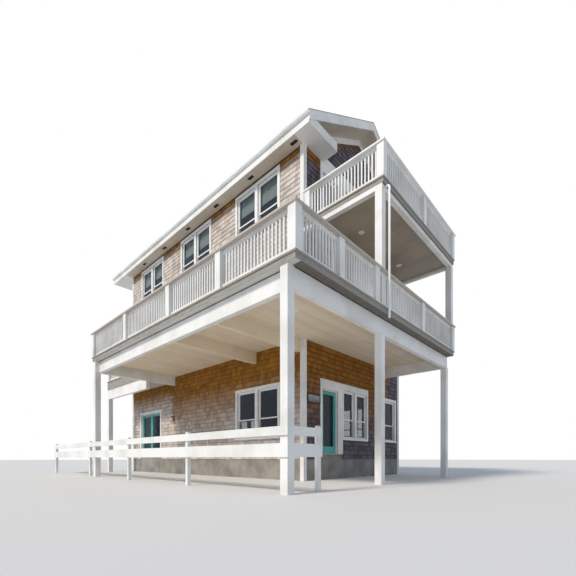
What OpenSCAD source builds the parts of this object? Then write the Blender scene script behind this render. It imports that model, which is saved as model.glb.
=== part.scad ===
// Three-storey beach house with a wrap-round main deck, an upper deck and a boarded gable roof.
// Millimetres. X runs along the gable front, Y runs back along the long left side, Z is up.
// All pieces are laid out from the outer corner of the main deck and then moved so that the
// origin is at the middle of the footprint, at the level of the lowest footing.

/* [House body] */
// Left wall, measured from the outer edge of the main deck
house_left = 3480; // [3200:10:3700]
// Front wall, measured from the front edge of the main deck
house_front = 2770; // [2500:10:3000]
// Width of the gable front
house_w = 6460; // [6300:20:6700]
// Length of the long side
house_l = 12190; // [12000:10:12600]
// Thickness of the framed outer walls
wall_t = 190; // [150:5:240]

/* [Levels above the lowest footing] */
// Ground floor
ground_level = 850; // [700:10:1000]
// Main floor, and the deck beside it
main_level = 4650; // [4500:10:4800]
// Upper floor, and its deck
upper_level = 8020; // [7900:10:8150]
// Flat soffit under the eaves
soffit_level = 10520; // [10450:10:10600]

/* [Roof] */
// Rise of the roof for each unit of run
roof_pitch = 0.583; // [0.5:0.001:0.65]
// Eave overhang, from the side wall to the fascia
eave_overhang = 450; // [400:10:520]
// Roof deck and shingles, measured plumb
roof_t = 120; // [90:5:150]
// Overhang of the front gable
front_overhang = 620; // [500:10:700]
// Overhang of the rear gable
rear_overhang = 1500; // [600:20:1600]
// Depth of the rake boards, measured plumb
rake_h = 290; // [240:10:320]
// Length of each cornice return along the gable
return_l = 1420; // [900:20:1600]
// Gutter width
gutter_w = 85; // [70:5:110]

/* [Decks] */
// Width of the main deck, from its left edge to its right end
deck_w = 8820; // [8500:10:9100]
// Length of the main deck along the left side
deck_l = 10700; // [10200:20:11000]
// Left edge of the narrow rear walkway
walkway_x = 2120; // [1900:20:2300]
// Bottom of the perimeter beams
beam_bottom = 4060; // [3950:10:4150]
// Width of every beam
beam_t = 140; // [120:5:160]
// Setback of the left beam from the deck edge
left_setback = 190; // [150:5:230]
// Setback of the front beam from the deck edge
front_setback = 250; // [200:5:280]
// Square posts
post_w = 200; // [180:5:220]
// Structural depth of a deck, boards and joists
deck_t = 160; // [140:5:200]
// Bottom of the walkway beam
walkway_beam_bottom = 3750; // [3600:10:3900]

/* [Railings] */
// Height of the railing cap above the deck
rail_h = 930; // [900:5:1000]
// Boxed railing posts
rail_post_w = 200; // [160:5:220]
// Railing cap width
cap_w = 260; // [220:5:280]
// Square balusters
baluster_w = 38; // [32:1:45]
// Spacing of the balusters, centre to centre
baluster_pitch = 108; // [100:1:120]

/* [Windows and doors] */
// Width of one sash opening of a window pair
sash_w = 990; // [900:10:1040]
// Post between the two windows of a pair
mullion_w = 140; // [120:5:160]
// Height of a window opening
window_h = 1710; // [1600:10:1750]
// Window sill above the floor of the main and upper storeys
sill_h = 600; // [560:10:650]
// Spacing of the window pairs along the side walls
pair_pitch = 3900; // [3700:20:4000]
// Flat casing round windows and doors
casing_w = 100; // [80:5:120]
// Width of the front door leaf
door_w = 800; // [760:10:860]
// Width of each leaf of the side doors
side_leaf_w = 970; // [900:10:1000]
// Leaf thickness
leaf_t = 45; // [40:1:50]
// Running gap round a leaf
leaf_gap = 8; // [7:0.5:10]

/* [Guard rail] */
// Spacing of the guard rail posts
guard_bay = 3620; // [3400:20:3700]
// Length of the short front run
guard_stub = 1050; // [900:10:1200]
// End of the side run, past the rear deck post
guard_end = 15950; // [11300:10:16200]

/* [Hidden] */
$fn = 32;
house_right = house_left + house_w;
house_rear = house_front + house_l;
ridge_x = house_left + house_w / 2;
fascia_x = house_left - eave_overhang;
gutter_x = fascia_x - gutter_w;
rake_front = house_front - front_overhang;
rake_rear = house_rear + rear_overhang;
fascia_t = 25;
rake_t = 30;
fascia_h = 230;
eave_z = soffit_level + fascia_h + roof_t;
ridge_z = eave_z + (ridge_x - fascia_x) * roof_pitch;
cap_lip = (cap_w - rail_post_w) / 2;
low_x = -cap_lip;
high_x = 2 * ridge_x - gutter_x;
pipe_r = 30;
pipe_y = -cap_lip - 5 - pipe_r;
low_y = pipe_y - pipe_r;
mid_x = (low_x + high_x) / 2;
mid_y = (low_y + rake_rear) / 2;
floor_t = 240;
slab_t = 150;
deck_under = main_level - deck_t;
board_t = 40;
lip = 25;
ceiling_t = 40;
upper_front = 0;
upper_left = house_left - 80;
upper_under = upper_level - deck_t;
upper_beam_bottom = upper_level - 290;
walkway_under = main_level - 430;
jamb_t = 40;
ground_head = 3130;
ground_sill = 1450;
door_head = ground_level + 2180;
door_x = 4410;
door_rough_w = door_w + 2 * (jamb_t + leaf_gap);
side_rough_w = 2 * side_leaf_w + 2 * (jamb_t + leaf_gap) + 10;
side_y = 11900;
side_head = ground_level + 2120;
threshold_h = 15;
leaf_back = 60;
stile_w = 110;
leaf_bottom_h = 240;
glass_t = 6;
first_pair = 4940;
check_ratio = 0.4;
frame_w = 35;
casing_proud = 32;
front_head_h = 220;
corner_board_w = 110;
corner_proud = 40;
inner_left = house_left + wall_t;
inner_right = house_right - wall_t;
seat_gap = 0.5;
wall_top = roof_top(house_left) - roof_t - seat_gap;
soffit_x = fascia_x + fascia_t + seat_gap;
gable_inner = fascia_x + return_l;
end_setback = 50;
left_beam_in = left_setback + beam_t;
front_beam_in = front_setback + beam_t;
end_beam_x = deck_w - end_setback - beam_t;
rear_beam_y = deck_l - end_setback - beam_t;
rear_post_y = deck_l - end_setback - post_w;
cross_beam_y = [house_front + corner_board_w + 5, 4950];
front_post_x = [3690, deck_w - end_setback - post_w];
rail_cap_t = 45;
rail_bar_w = 60;
rail_top_bar_h = 85;
rail_foot = [45, 105];
rail_start = cap_w;

// Height of the roof's top surface over a place on the gable.
function roof_top(x) = ridge_z - abs(x - ridge_x) * roof_pitch;

// Openings are [start, end, sill, head] along their wall.
function pair(centre, sill, h) = [
    [centre - mullion_w / 2 - sash_w, centre - mullion_w / 2, sill, sill + h],
    [centre + mullion_w / 2, centre + mullion_w / 2 + sash_w, sill, sill + h]
];
function pairs(count, sill) = [
    for (i = [0 : count - 1]) each pair(first_pair + i * pair_pitch, sill, window_h)
];
main_sill = main_level + sill_h;
upper_sill = upper_level + sill_h;
ground_h = ground_head - ground_sill;
left_ground_windows = pair(first_pair, ground_sill, ground_h);
left_high_windows = concat(pairs(3, main_sill), pairs(3, upper_sill));
right_windows_all = concat(
    pair(first_pair, ground_sill, ground_h),
    pair(first_pair + 2 * pair_pitch, ground_sill, ground_h),
    left_high_windows
);
// The front repeats a glazed door, two tall sashes and one more window on each storey. The last
// is wide at the ground, and narrow above, where it stands beside the end of the decks.
tall_w = 720;
tall_x = [5660, 6520];
wide_window = [8400, 9600];
narrow_window = [8990, 9690];
function front_set(rise, last) = [
    for (x = [[tall_x[0], tall_x[0] + tall_w], [tall_x[1], tall_x[1] + tall_w], last])
        [x[0], x[1], ground_sill + rise, ground_head + rise]
];
main_rise = main_level - ground_level;
upper_rise = upper_level - ground_level;
front_ground_windows = front_set(0, wide_window);
front_main_windows = front_set(main_rise, narrow_window);
front_upper_windows = front_set(upper_rise, narrow_window);
front_high_windows = concat(front_main_windows, front_upper_windows);
ground_door = [door_x, door_x + door_rough_w, ground_level, door_head];
leaf_z = ground_level + threshold_h + leaf_gap;
front_leaf_h = door_head - jamb_t - leaf_gap - leaf_z;
side_leaf_h = side_head - jamb_t - leaf_gap - leaf_z;
upper_doors = [
    for (rise = [main_rise, upper_rise])
        [door_x, door_x + door_rough_w, ground_level + rise, door_head + rise]
];
rear_windows_all = [
    for (sill = [ground_sill, main_sill, upper_sill]) each pair(ridge_x, sill, ground_h)
];

main_left_posts = [0, 2350, 4700, 7550, deck_l - rail_post_w];
main_front_posts = [0, 1450, 3020, 5900, deck_w - rail_post_w];
upper_post_x = [upper_left + 20, deck_w - post_w];
upper_post_y = 60;

// Moves the layout so that the origin is at the middle of the footprint.
module placed() {
    translate([-mid_x, -mid_y, 0]) children();
}

// A block from its lowest corner to its highest.
module block(low, high) {
    translate(low) cube(high - low);
}

// A wall along Y with openings cut through.
module wall_y(x, y0, y1, z0, z1, openings) {
    difference() {
        block([x, y0, z0], [x + wall_t, y1, z1]);
        for (o = openings)
            block([x - 10, o[0], o[2]], [x + wall_t + 10, o[1], o[3]]);
    }
}

// A wall along X with openings cut through.
module wall_x(y, x0, x1, z0, z1, openings) {
    difference() {
        block([x0, y, z0], [x1, y + wall_t, z1]);
        for (o = openings)
            block([o[0], y - 10, o[2]], [o[1], y + wall_t + 10, o[3]]);
    }
}

// A slice of the gable between two plumb offsets below the roof's top surface.
module gable_band(x0, x1, top_drop, bottom_drop) {
    polygon([
        [x0, roof_top(x0) - bottom_drop],
        [ridge_x, ridge_z - bottom_drop],
        [x1, roof_top(x1) - bottom_drop],
        [x1, roof_top(x1) - top_drop],
        [ridge_x, ridge_z - top_drop],
        [x0, roof_top(x0) - top_drop]
    ]);
}

// Extrudes an XZ outline along Y, from y0 to y1.
module along_y(y0, y1) {
    translate([0, y1, 0]) rotate([90, 0, 0]) linear_extrude(y1 - y0) children();
}

module foundation() {
    color("#9a9a96") placed() difference() {
        block([house_left, house_front, 0], [house_right, house_rear, ground_level - slab_t]);
        block(
            [house_left + wall_t, house_front + wall_t, -10],
            [house_right - wall_t, house_rear - wall_t, ground_level]
        );
    }
}

module ground_floor() {
    color("#a8a49c") placed() block(
        [house_left, house_front, ground_level - slab_t],
        [house_right, house_rear, ground_level]
    );
}

// A timber floor that fits between the outer walls.
module framed_floor(level) {
    color("#b08a5c") placed() block(
        [house_left + wall_t, house_front + wall_t, level - floor_t],
        [house_right - wall_t, house_rear - wall_t, level]
    );
}

module left_wall_ground() {
    color("#a58e70") placed()
        wall_y(house_left, house_front, side_y, ground_level, main_level, left_ground_windows);
}

module left_wall_pier() {
    color("#a58e70") placed() block(
        [house_left, side_y + side_rough_w, ground_level],
        [house_left + wall_t, house_rear, main_level]
    );
}

module left_wall_over_doors() {
    color("#a58e70") placed() block(
        [house_left, side_y, side_head],
        [house_left + wall_t, side_y + side_rough_w, main_level]
    );
}

module left_wall_high() {
    color("#a58e70") placed()
        wall_y(house_left, house_front, house_rear, main_level, wall_top, left_high_windows);
}

module right_wall() {
    color("#a58e70") placed() wall_y(
        house_right - wall_t, house_front, house_rear, ground_level, wall_top, right_windows_all
    );
}

module front_wall_pier() {
    color("#a58e70") placed() block(
        [inner_left, house_front, ground_level],
        [door_x, house_front + wall_t, main_level]
    );
}

module front_wall_ground() {
    color("#a58e70") placed() wall_x(
        house_front, door_x + door_rough_w, inner_right, ground_level, main_level,
        front_ground_windows
    );
}

module front_wall_over_door() {
    color("#a58e70") placed() block(
        [door_x, house_front, door_head],
        [door_x + door_rough_w, house_front + wall_t, main_level]
    );
}

module front_wall_high() {
    color("#a58e70") placed() wall_x(
        house_front, inner_left, inner_right, main_level, soffit_level,
        concat(front_high_windows, upper_doors)
    );
}

module rear_wall() {
    color("#a58e70") placed() wall_x(
        house_rear - wall_t, inner_left, inner_right, ground_level, soffit_level,
        rear_windows_all
    );
}

// The triangular walls above the eaves fit between the side walls and under the roof.
module gable_walls() {
    color("#8c7a66") placed() for (y = [house_front, house_rear - wall_t])
        along_y(y, y + wall_t) polygon([
            [inner_left, soffit_level],
            [inner_right, soffit_level],
            [inner_right, roof_top(inner_right) - roof_t - seat_gap],
            [ridge_x, ridge_z - roof_t - seat_gap],
            [inner_left, roof_top(inner_left) - roof_t - seat_gap]
        ]);
}

// One roof slope, cut plumb at the fascia and at the ridge.
module roof_slope(outer_x) {
    color("#4c4a4a") placed() along_y(rake_front + rake_t, rake_rear - rake_t) polygon([
        [outer_x, roof_top(outer_x)],
        [ridge_x, ridge_z],
        [ridge_x, ridge_z - roof_t],
        [outer_x, roof_top(outer_x) - roof_t]
    ]);
}

module ridge_cap() {
    color("#454344") placed() along_y(rake_front, rake_rear) polygon([
        [ridge_x - 150, roof_top(ridge_x - 150)],
        [ridge_x, ridge_z],
        [ridge_x + 150, roof_top(ridge_x + 150)],
        [ridge_x + 150, roof_top(ridge_x + 150) + 18],
        [ridge_x, ridge_z + 22],
        [ridge_x - 150, roof_top(ridge_x - 150) + 18]
    ]);
}

module rake_boards() {
    color("#eef0ef") placed() for (y = [rake_front, rake_rear - rake_t])
        along_y(y, y + rake_t) gable_band(fascia_x, 2 * ridge_x - fascia_x, 0, rake_h);
}

// Sloping boards that close the underside of the gable overhangs.
module rake_soffits() {
    soffit_t = 20;
    color("#d8d2c4") placed() {
        for (span = [[rake_front + rake_t, house_front], [house_rear, rake_rear - rake_t]])
            along_y(span[0], span[1])
                gable_band(soffit_x, 2 * ridge_x - soffit_x, rake_h - soffit_t, rake_h);
    }
}

// Fascia and flat soffit of both eaves.
module eave_boards() {
    board = 20;
    color("#f1f1ee") placed() for (side = [0, 1]) {
        translate([side * 2 * ridge_x, 0, 0]) mirror([side, 0, 0]) union() {
            block(
                [fascia_x, rake_front + rake_t, soffit_level],
                [fascia_x + fascia_t, rake_rear - rake_t, eave_z - roof_t]
            );
            block(
                [fascia_x, house_front, soffit_level],
                [house_left, house_rear, soffit_level + board]
            );
        }
    }
}

// Open gutters on both eaves, with a rolled front lip.
module gutters() {
    color("#f4f5f4") placed() for (side = [0, 1])
        translate([side * 2 * ridge_x, 0, 0]) mirror([side, 0, 0])
            along_y(rake_front, rake_rear) polygon([
                [fascia_x, eave_z - 130],
                [fascia_x - 55, eave_z - 130],
                [gutter_x, eave_z - 85],
                [gutter_x, eave_z - 20],
                [gutter_x + 12, eave_z - 20],
                [gutter_x + 12, eave_z - 80],
                [fascia_x - 50, eave_z - 120],
                [fascia_x - 8, eave_z - 120],
                [fascia_x - 8, eave_z - 20],
                [fascia_x, eave_z - 20]
            ]);
}

// Boxed returns that carry the eave round the corner of each gable.
module cornice_returns() {
    top_z = soffit_level + 280;
    under = rake_h + seat_gap;
    meet_x = fascia_x + (top_z - (eave_z - under)) / roof_pitch;
    spans = [[rake_front + rake_t, house_front], [house_rear, rake_rear - rake_t]];
    color("#eceeed") placed() for (side = [0, 1], span = spans)
        translate([side * 2 * ridge_x, 0, 0]) mirror([side, 0, 0])
            along_y(span[0], span[1]) polygon([
                [soffit_x, soffit_level],
                [gable_inner, soffit_level],
                [gable_inner, top_z],
                [meet_x, top_z],
                [soffit_x, roof_top(soffit_x) - under]
            ]);
}

// Boards on both faces of every outer corner, cut away where a deck meets the wall.
module corner_boards() {
    color("#f2f3f1") placed() difference() {
        for (sx = [0, 1], sy = [0, 1])
            translate([sx * 2 * ridge_x, sy * (house_front + house_rear), 0])
                mirror([sx, 0, 0]) mirror([0, sy, 0]) corner_board();
        // The main deck and its ceiling run round the front corner.
        block(
            [0, 0, deck_under - ceiling_t],
            [house_left + 2 * corner_board_w, house_front + 2 * corner_board_w, main_level]
        );
        // The upper deck meets the front face only, and the walkway the side face only.
        block(
            [upper_left, 0, upper_beam_bottom],
            [house_left + 2 * corner_board_w, house_front, upper_level]
        );
        block(
            [walkway_x, house_rear - 2 * corner_board_w, walkway_under],
            [house_left, house_rear, main_level]
        );
    }
}

module corner_board() {
    difference() {
        block(
            [house_left - corner_proud, house_front - corner_proud, 0],
            [house_left + corner_board_w, house_front + corner_board_w, soffit_level]
        );
        block(
            [house_left, house_front, -10],
            [house_left + 2 * corner_board_w, house_front + 2 * corner_board_w, ridge_z]
        );
    }
}

// Boards on the gable walls: one band at eave level and one under each slope.
module gable_frieze() {
    proud = 30;
    band_h = 230;
    frieze_h = 200;
    color("#eceae4") placed()
        for (y = [house_front - proud, house_rear]) along_y(y, y + proud) union() {
            translate([gable_inner + seat_gap, soffit_level + seat_gap])
                square([2 * (ridge_x - gable_inner - seat_gap), band_h]);
            gable_band(
                gable_inner + seat_gap, 2 * ridge_x - gable_inner - seat_gap,
                rake_h + seat_gap, rake_h + frieze_h
            );
        }
}

// A double-hung window in its opening, drawn in the XZ plane with its outer face at y = 0.
module sash_window(o) {
    rail = 45;
    w = o[1] - o[0];
    h = o[3] - o[2];
    check_z = h * check_ratio;
    inset = frame_w + rail;
    translate([o[0], 0, o[2]]) {
        difference() {
            block([0, 15, 0], [w, 120, h]);
            block([frame_w, 0, frame_w], [w - frame_w, 130, h - frame_w]);
        }
        difference() {
            block([frame_w, 35, check_z - rail], [w - frame_w, 62, h - frame_w]);
            block([inset, 0, check_z], [w - inset, 90, h - inset]);
        }
        difference() {
            block([frame_w, 62 + glass_t, frame_w], [w - frame_w, 95, check_z]);
            block([inset, 0, inset], [w - inset, 110, check_z - rail]);
        }
    }
}

// The sheet of glass that closes one window, between its two sashes.
module window_pane(o) {
    block(
        [o[0] + frame_w, 62, o[2] + frame_w],
        [o[1] - frame_w, 62 + glass_t, o[3] - frame_w]
    );
}

// Flat casing round one or more openings that share it, with a sill and a head board.
module casing(x0, x1, z0, z1, head_h, openings) {
    horn = 20;
    sill_out = 60;
    apron = 70;
    difference() {
        union() {
            block([x0 - casing_w, -casing_proud, z0 - apron], [x1 + casing_w, 0, z1 + head_h]);
            block(
                [x0 - casing_w - horn, -sill_out, z0 - apron],
                [x1 + casing_w + horn, 0, z0 - apron + 45]
            );
        }
        for (o = openings)
            block([o[0], -100, o[2]], [o[1], 10, o[3]]);
    }
}

// Windows and casings of a list of pairs.
module window_pairs(list) {
    for (o = list) sash_window(o);
    for (i = [0 : 2 : len(list) - 1]) {
        a = list[i];
        b = list[i + 1];
        casing(a[0], b[1], a[2], a[3], casing_w, [a, b]);
    }
}

// Stands a window drawn along X on the left wall's outer face.
module on_left() {
    translate([house_left, 0, 0]) mirror([1, 0, 0]) rotate([0, 0, 90]) children();
}

module on_right() {
    translate([house_right, 0, 0]) rotate([0, 0, 90]) children();
}

module on_front() {
    translate([0, house_front, 0]) children();
}

module on_rear() {
    translate([0, house_rear, 0]) mirror([0, 1, 0]) children();
}

module left_windows() {
    color("#f3f4f2") placed() on_left() {
        window_pairs(left_ground_windows);
        window_pairs(left_high_windows);
    }
}

module right_windows() {
    color("#f3f4f2") placed() on_right() window_pairs(right_windows_all);
}

module rear_windows() {
    color("#f3f4f2") placed() on_rear() window_pairs(rear_windows_all);
}

// A fixed glazed door on an upper storey, in its frame.
module fixed_door(o) {
    inset = jamb_t + stile_w;
    difference() {
        block([o[0], 15, o[2]], [o[1], 95, o[3]]);
        block([o[0] + inset, 0, o[2] + leaf_bottom_h], [o[1] - inset, 110, o[3] - inset]);
    }
}

module fixed_door_pane(o) {
    inset = jamb_t + stile_w;
    block(
        [o[0] + inset, 50, o[2] + leaf_bottom_h],
        [o[1] - inset, 50 + glass_t, o[3] - inset]
    );
}

// The front casing holds the door and the two tall sashes under one tall head board.
module front_casing(rise, door) {
    tall = front_set(rise, wide_window);
    casing_end = tall[1][1] + casing_w;
    difference() {
        block(
            [door[0] - casing_w, -casing_proud, door[2]],
            [casing_end, 0, tall[0][3] + front_head_h]
        );
        block([door[0], -50, door[2] - 10], [door[1], 10, door[3]]);
        for (i = [0, 1])
            block([tall[i][0], -50, tall[i][2]], [tall[i][1], 10, tall[i][3]]);
        // Below the sill the wall is shingled up to the door's own casing.
        block([tall[0][0] - 60, -50, door[2] - 10], [casing_end + 10, 10, tall[0][2] - 90]);
    }
}

module front_windows() {
    color("#f3f4f2") placed() on_front() {
        for (o = concat(front_ground_windows, front_high_windows)) sash_window(o);
        for (o = [for (w = [front_ground_windows, front_main_windows, front_upper_windows]) w[2]])
            casing(o[0], o[1], o[2], o[3], casing_w, [o]);
        for (o = upper_doors) fixed_door(o);
        front_casing(main_rise, upper_doors[0]);
        front_casing(upper_rise, upper_doors[1]);
    }
}

module window_glass() {
    color("#5f7f86", 0.5) placed() {
        on_left() for (o = concat(left_ground_windows, left_high_windows)) window_pane(o);
        on_right() for (o = right_windows_all) window_pane(o);
        on_rear() for (o = rear_windows_all) window_pane(o);
        on_front() {
            for (o = concat(front_ground_windows, front_high_windows)) window_pane(o);
            for (o = upper_doors) fixed_door_pane(o);
        }
    }
}

// Jambs, head and threshold of a doorway, in the XZ plane with the outer face at y = 0.
module door_frame(w, h) {
    difference() {
        block([0, 15, 0], [w, 160, h]);
        block([jamb_t, 0, threshold_h], [w - jamb_t, 170, h - jamb_t]);
    }
}

// A full-glass leaf, hinged at x = 0: stiles, top rail, deep bottom rail and a lever handle.
module glazed_leaf(w, h) {
    handle_x = w - stile_w / 2;
    lever_l = 110;
    difference() {
        block([0, leaf_back, 0], [w, leaf_back + leaf_t, h]);
        block([stile_w, 0, leaf_bottom_h], [w - stile_w, 200, h - stile_w]);
    }
    for (side = [0, 1])
        translate([handle_x, side == 0 ? leaf_back : leaf_back + leaf_t, 1000])
            rotate([side == 0 ? 90 : -90, 0, 0]) {
                cylinder(r = 26, h = 10);
                cylinder(r = 10, h = 45);
                translate([-lever_l, -10, 33]) cube([lever_l, 20, 12]);
            }
}

module leaf_glass(w, h) {
    block(
        [stile_w, leaf_back + 20, leaf_bottom_h],
        [w - stile_w, leaf_back + 20 + glass_t, h - stile_w]
    );
}

module front_door_casing() {
    color("#f3f4f2") placed() on_front() front_casing(0, ground_door);
}

module front_door_frame() {
    color("#f3f4f2") placed() translate([door_x, house_front, ground_level])
        door_frame(door_rough_w, door_head - ground_level);
}

module in_front_doorway() {
    translate([door_x + jamb_t + leaf_gap, house_front, leaf_z]) children();
}

module front_door() {
    color("#1f8f8c") placed() in_front_doorway() glazed_leaf(door_w, front_leaf_h);
}

module front_door_glass() {
    color("#5f7f86", 0.5) placed() in_front_doorway() leaf_glass(door_w, front_leaf_h);
}

module side_door_frame() {
    color("#f3f4f2") placed() on_left() {
        translate([side_y, 0, ground_level]) door_frame(side_rough_w, side_head - ground_level);
        difference() {
            block(
                [side_y - casing_w, -casing_proud, ground_level],
                [side_y + side_rough_w + casing_w, 0, side_head + casing_w]
            );
            block(
                [side_y, -50, ground_level - 10],
                [side_y + side_rough_w, 10, side_head]
            );
        }
    }
}

module in_near_half() {
    on_left() translate([side_y + jamb_t + leaf_gap, 0, leaf_z]) children();
}

module in_far_half() {
    on_left() translate([side_y + side_rough_w - jamb_t - leaf_gap, 0, leaf_z])
        mirror([1, 0, 0]) children();
}

module side_door_near() {
    color("#2f9a94") placed() in_near_half()
        glazed_leaf(side_leaf_w, side_leaf_h);
}

module side_door_near_glass() {
    color("#5f7f86", 0.5) placed() in_near_half() leaf_glass(side_leaf_w, side_leaf_h);
}

module side_door_far() {
    color("#2f9a94") placed() in_far_half()
        glazed_leaf(side_leaf_w, side_leaf_h);
}

module side_door_far_glass() {
    color("#5f7f86", 0.5) placed() in_far_half() leaf_glass(side_leaf_w, side_leaf_h);
}

// Plan of the main deck, set in from its edge by a given distance.
module deck_plan(inset) {
    polygon([
        [inset, inset],
        [deck_w - inset, inset],
        [deck_w - inset, house_front],
        [house_left, house_front],
        [house_left, deck_l - inset],
        [inset, deck_l - inset]
    ]);
}

// Deck boards with a small nosing over the rim joists.
module main_deck() {
    color("#b8b1a4") placed() {
        translate([0, 0, deck_under]) linear_extrude(deck_t - board_t) deck_plan(lip);
        translate([0, 0, main_level - board_t]) linear_extrude(board_t) deck_plan(0);
    }
}

module main_ceiling() {
    color("#d9cfba") placed() translate([0, 0, deck_under - ceiling_t])
        linear_extrude(ceiling_t) polygon([
            [left_beam_in, front_beam_in],
            [end_beam_x, front_beam_in],
            [end_beam_x, house_front],
            [house_left, house_front],
            [house_left, rear_beam_y],
            [left_beam_in, rear_beam_y]
        ]);
}

// Perimeter beams, the cross beams under the side deck and the walkway beam.
module deck_beams() {
    color("#f2f2ee") placed() {
        // Left beam, between the corner post and the rear post.
        block(
            [left_setback, front_setback + post_w, beam_bottom],
            [left_beam_in, rear_post_y, deck_under]
        );
        // Front beam and right end beam.
        block(
            [end_setback + post_w, front_setback, beam_bottom],
            [end_beam_x + beam_t, front_beam_in, deck_under]
        );
        block(
            [end_beam_x, front_beam_in + 1, beam_bottom],
            [end_beam_x + beam_t, house_front, deck_under]
        );
        // Rear beam and the two cross beams.
        block(
            [left_beam_in + 1, rear_beam_y, beam_bottom],
            [house_left, rear_beam_y + beam_t, deck_under]
        );
        for (y = cross_beam_y)
            block(
                [left_beam_in + 1, y, beam_bottom],
                [house_left, y + beam_t, deck_under - ceiling_t]
            );
        // Walkway beam.
        block(
            [walkway_x + end_setback, rear_beam_y + beam_t + 1, walkway_beam_bottom],
            [walkway_x + end_setback + beam_t, house_rear, walkway_under]
        );
    }
}

module ground_posts() {
    front_post_y = front_setback - 30;
    walkway_post_x = walkway_x + end_setback - 30;
    color("#f4f5f3") placed() {
        for (y = [front_setback, rear_post_y])
            block([end_setback, y, 0], [end_setback + post_w, y + post_w, deck_under]);
        for (x = front_post_x)
            block([x, front_post_y, 0], [x + post_w, front_post_y + post_w, beam_bottom]);
        block(
            [walkway_post_x, house_rear - post_w, 0],
            [walkway_post_x + post_w, house_rear, walkway_beam_bottom]
        );
    }
}

module walkway_deck() {
    color("#b8b1a4") placed() {
        block(
            [walkway_x + lip, deck_l, walkway_under],
            [house_left, house_rear, main_level - board_t]
        );
        block([walkway_x, deck_l, main_level - board_t], [house_left, house_rear, main_level]);
    }
}

module upper_deck() {
    color("#b8b1a4") placed() {
        block(
            [upper_left + lip, upper_front + lip, upper_under],
            [deck_w - lip, house_front, upper_level - board_t]
        );
        block(
            [upper_left, upper_front, upper_level - board_t],
            [deck_w, house_front, upper_level]
        );
    }
}

// Beams round three sides of the upper deck, and the flat ceiling between them.
module upper_beams() {
    inset = 30;
    left_out = upper_left + inset;
    left_in = left_out + beam_t;
    right_in = deck_w - inset - beam_t;
    front_in = upper_post_y + beam_t;
    color("#f0f0ec") placed() {
        block(
            [left_out, upper_post_y, upper_beam_bottom],
            [left_in, house_front, upper_under]
        );
        block(
            [left_in + 1, upper_post_y, upper_beam_bottom],
            [right_in - 1, front_in, upper_under]
        );
        block(
            [right_in, upper_post_y, upper_beam_bottom],
            [deck_w - inset, house_front, upper_under]
        );
        block(
            [left_in + 1, front_in + 1, upper_under - ceiling_t],
            [right_in - 1, house_front, upper_under]
        );
    }
}

// The posts of the upper deck stand on the main deck, against the inside of its railing.
module upper_posts() {
    color("#f4f5f3") placed() for (x = upper_post_x)
        block(
            [x, upper_post_y, main_level],
            [x + post_w, upper_post_y + post_w, upper_beam_bottom]
        );
}

// A straight railing along X that starts at x = 0, with its outer face at y = 0. The balusters
// leave out the railing's own posts and the wider posts of the deck above.
module railing(length, posts, deck_posts = []) {
    mid = rail_post_w / 2;
    under_cap = rail_h - rail_cap_t;
    bar = [mid - rail_bar_w / 2, mid + rail_bar_w / 2];
    held = concat(posts, deck_posts);
    block([-cap_lip, -cap_lip, under_cap], [length + cap_lip, cap_w - cap_lip, rail_h]);
    block([0, bar[0], under_cap - rail_top_bar_h], [length, bar[1], under_cap]);
    block([0, bar[0], rail_foot[0]], [length, bar[1], rail_foot[1]]);
    for (x = posts) block([x, 0, 0], [x + rail_post_w, rail_post_w, under_cap]);
    for (x = [baluster_pitch / 2 : baluster_pitch : length])
        if (len([for (p = held) if (x > p - baluster_w && x < p + rail_post_w + baluster_w) 1]) == 0)
            block(
                [x - baluster_w / 2, mid - baluster_w / 2, rail_foot[1] - 5],
                [x + baluster_w / 2, mid + baluster_w / 2, under_cap - rail_top_bar_h + 5]
            );
}

// Turns a railing drawn along X so that it runs along Y with its outer face to the left.
module along_left(x, y, z) {
    translate([x, y, z]) mirror([1, 0, 0]) rotate([0, 0, 90]) children();
}

module along_right(x, y, z) {
    translate([x, y, z]) rotate([0, 0, 90]) children();
}

module main_rail_left() {
    color("#f5f6f4") placed() along_left(0, 0, main_level) railing(deck_l, main_left_posts);
}

// The front railing butts against the corner of the left one and is notched round the posts of
// the deck above.
module main_rail_front() {
    color("#f5f6f4") placed() difference() {
        translate([rail_start, 0, main_level]) railing(
            deck_w - rail_start,
            [for (i = [1 : len(main_front_posts) - 1]) main_front_posts[i] - rail_start],
            [for (x = upper_post_x) x - rail_start]
        );
        for (x = upper_post_x)
            block(
                [x, upper_post_y, main_level - 10],
                [x + post_w, upper_post_y + post_w, main_level + rail_h + 10]
            );
    }
}

// Right end of the front deck, and the rear end of the side deck as far as the walkway.
module main_rail_ends() {
    end_y = upper_post_y + post_w + cap_lip + 5;
    end_l = house_front - corner_proud - 2 * cap_lip - end_y;
    rear_l = walkway_x - rail_start;
    color("#f5f6f4") placed() {
        along_right(deck_w, end_y, main_level) railing(end_l, [end_l - rail_post_w]);
        translate([rail_start, deck_l, main_level]) mirror([0, 1, 0])
            railing(rear_l, [rear_l - rail_post_w]);
    }
}

// Side and rear railings of the walkway, clear of each other and of the side deck's caps.
module walkway_rails() {
    gap = 5;
    side_y0 = deck_l + 2 * cap_lip + gap;
    rear_face = house_rear - cap_lip - gap;
    side_l = rear_face - side_y0;
    rear_x0 = walkway_x + rail_start + gap;
    rear_l = house_left - corner_proud - cap_lip - gap - rear_x0;
    color("#f5f6f4") placed() {
        along_left(walkway_x, side_y0, main_level)
            railing(side_l, [0, (side_l - rail_post_w) / 2, side_l - rail_post_w]);
        translate([rear_x0, rear_face, main_level]) mirror([0, 1, 0])
            railing(rear_l, [rear_l - rail_post_w]);
    }
}

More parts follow.
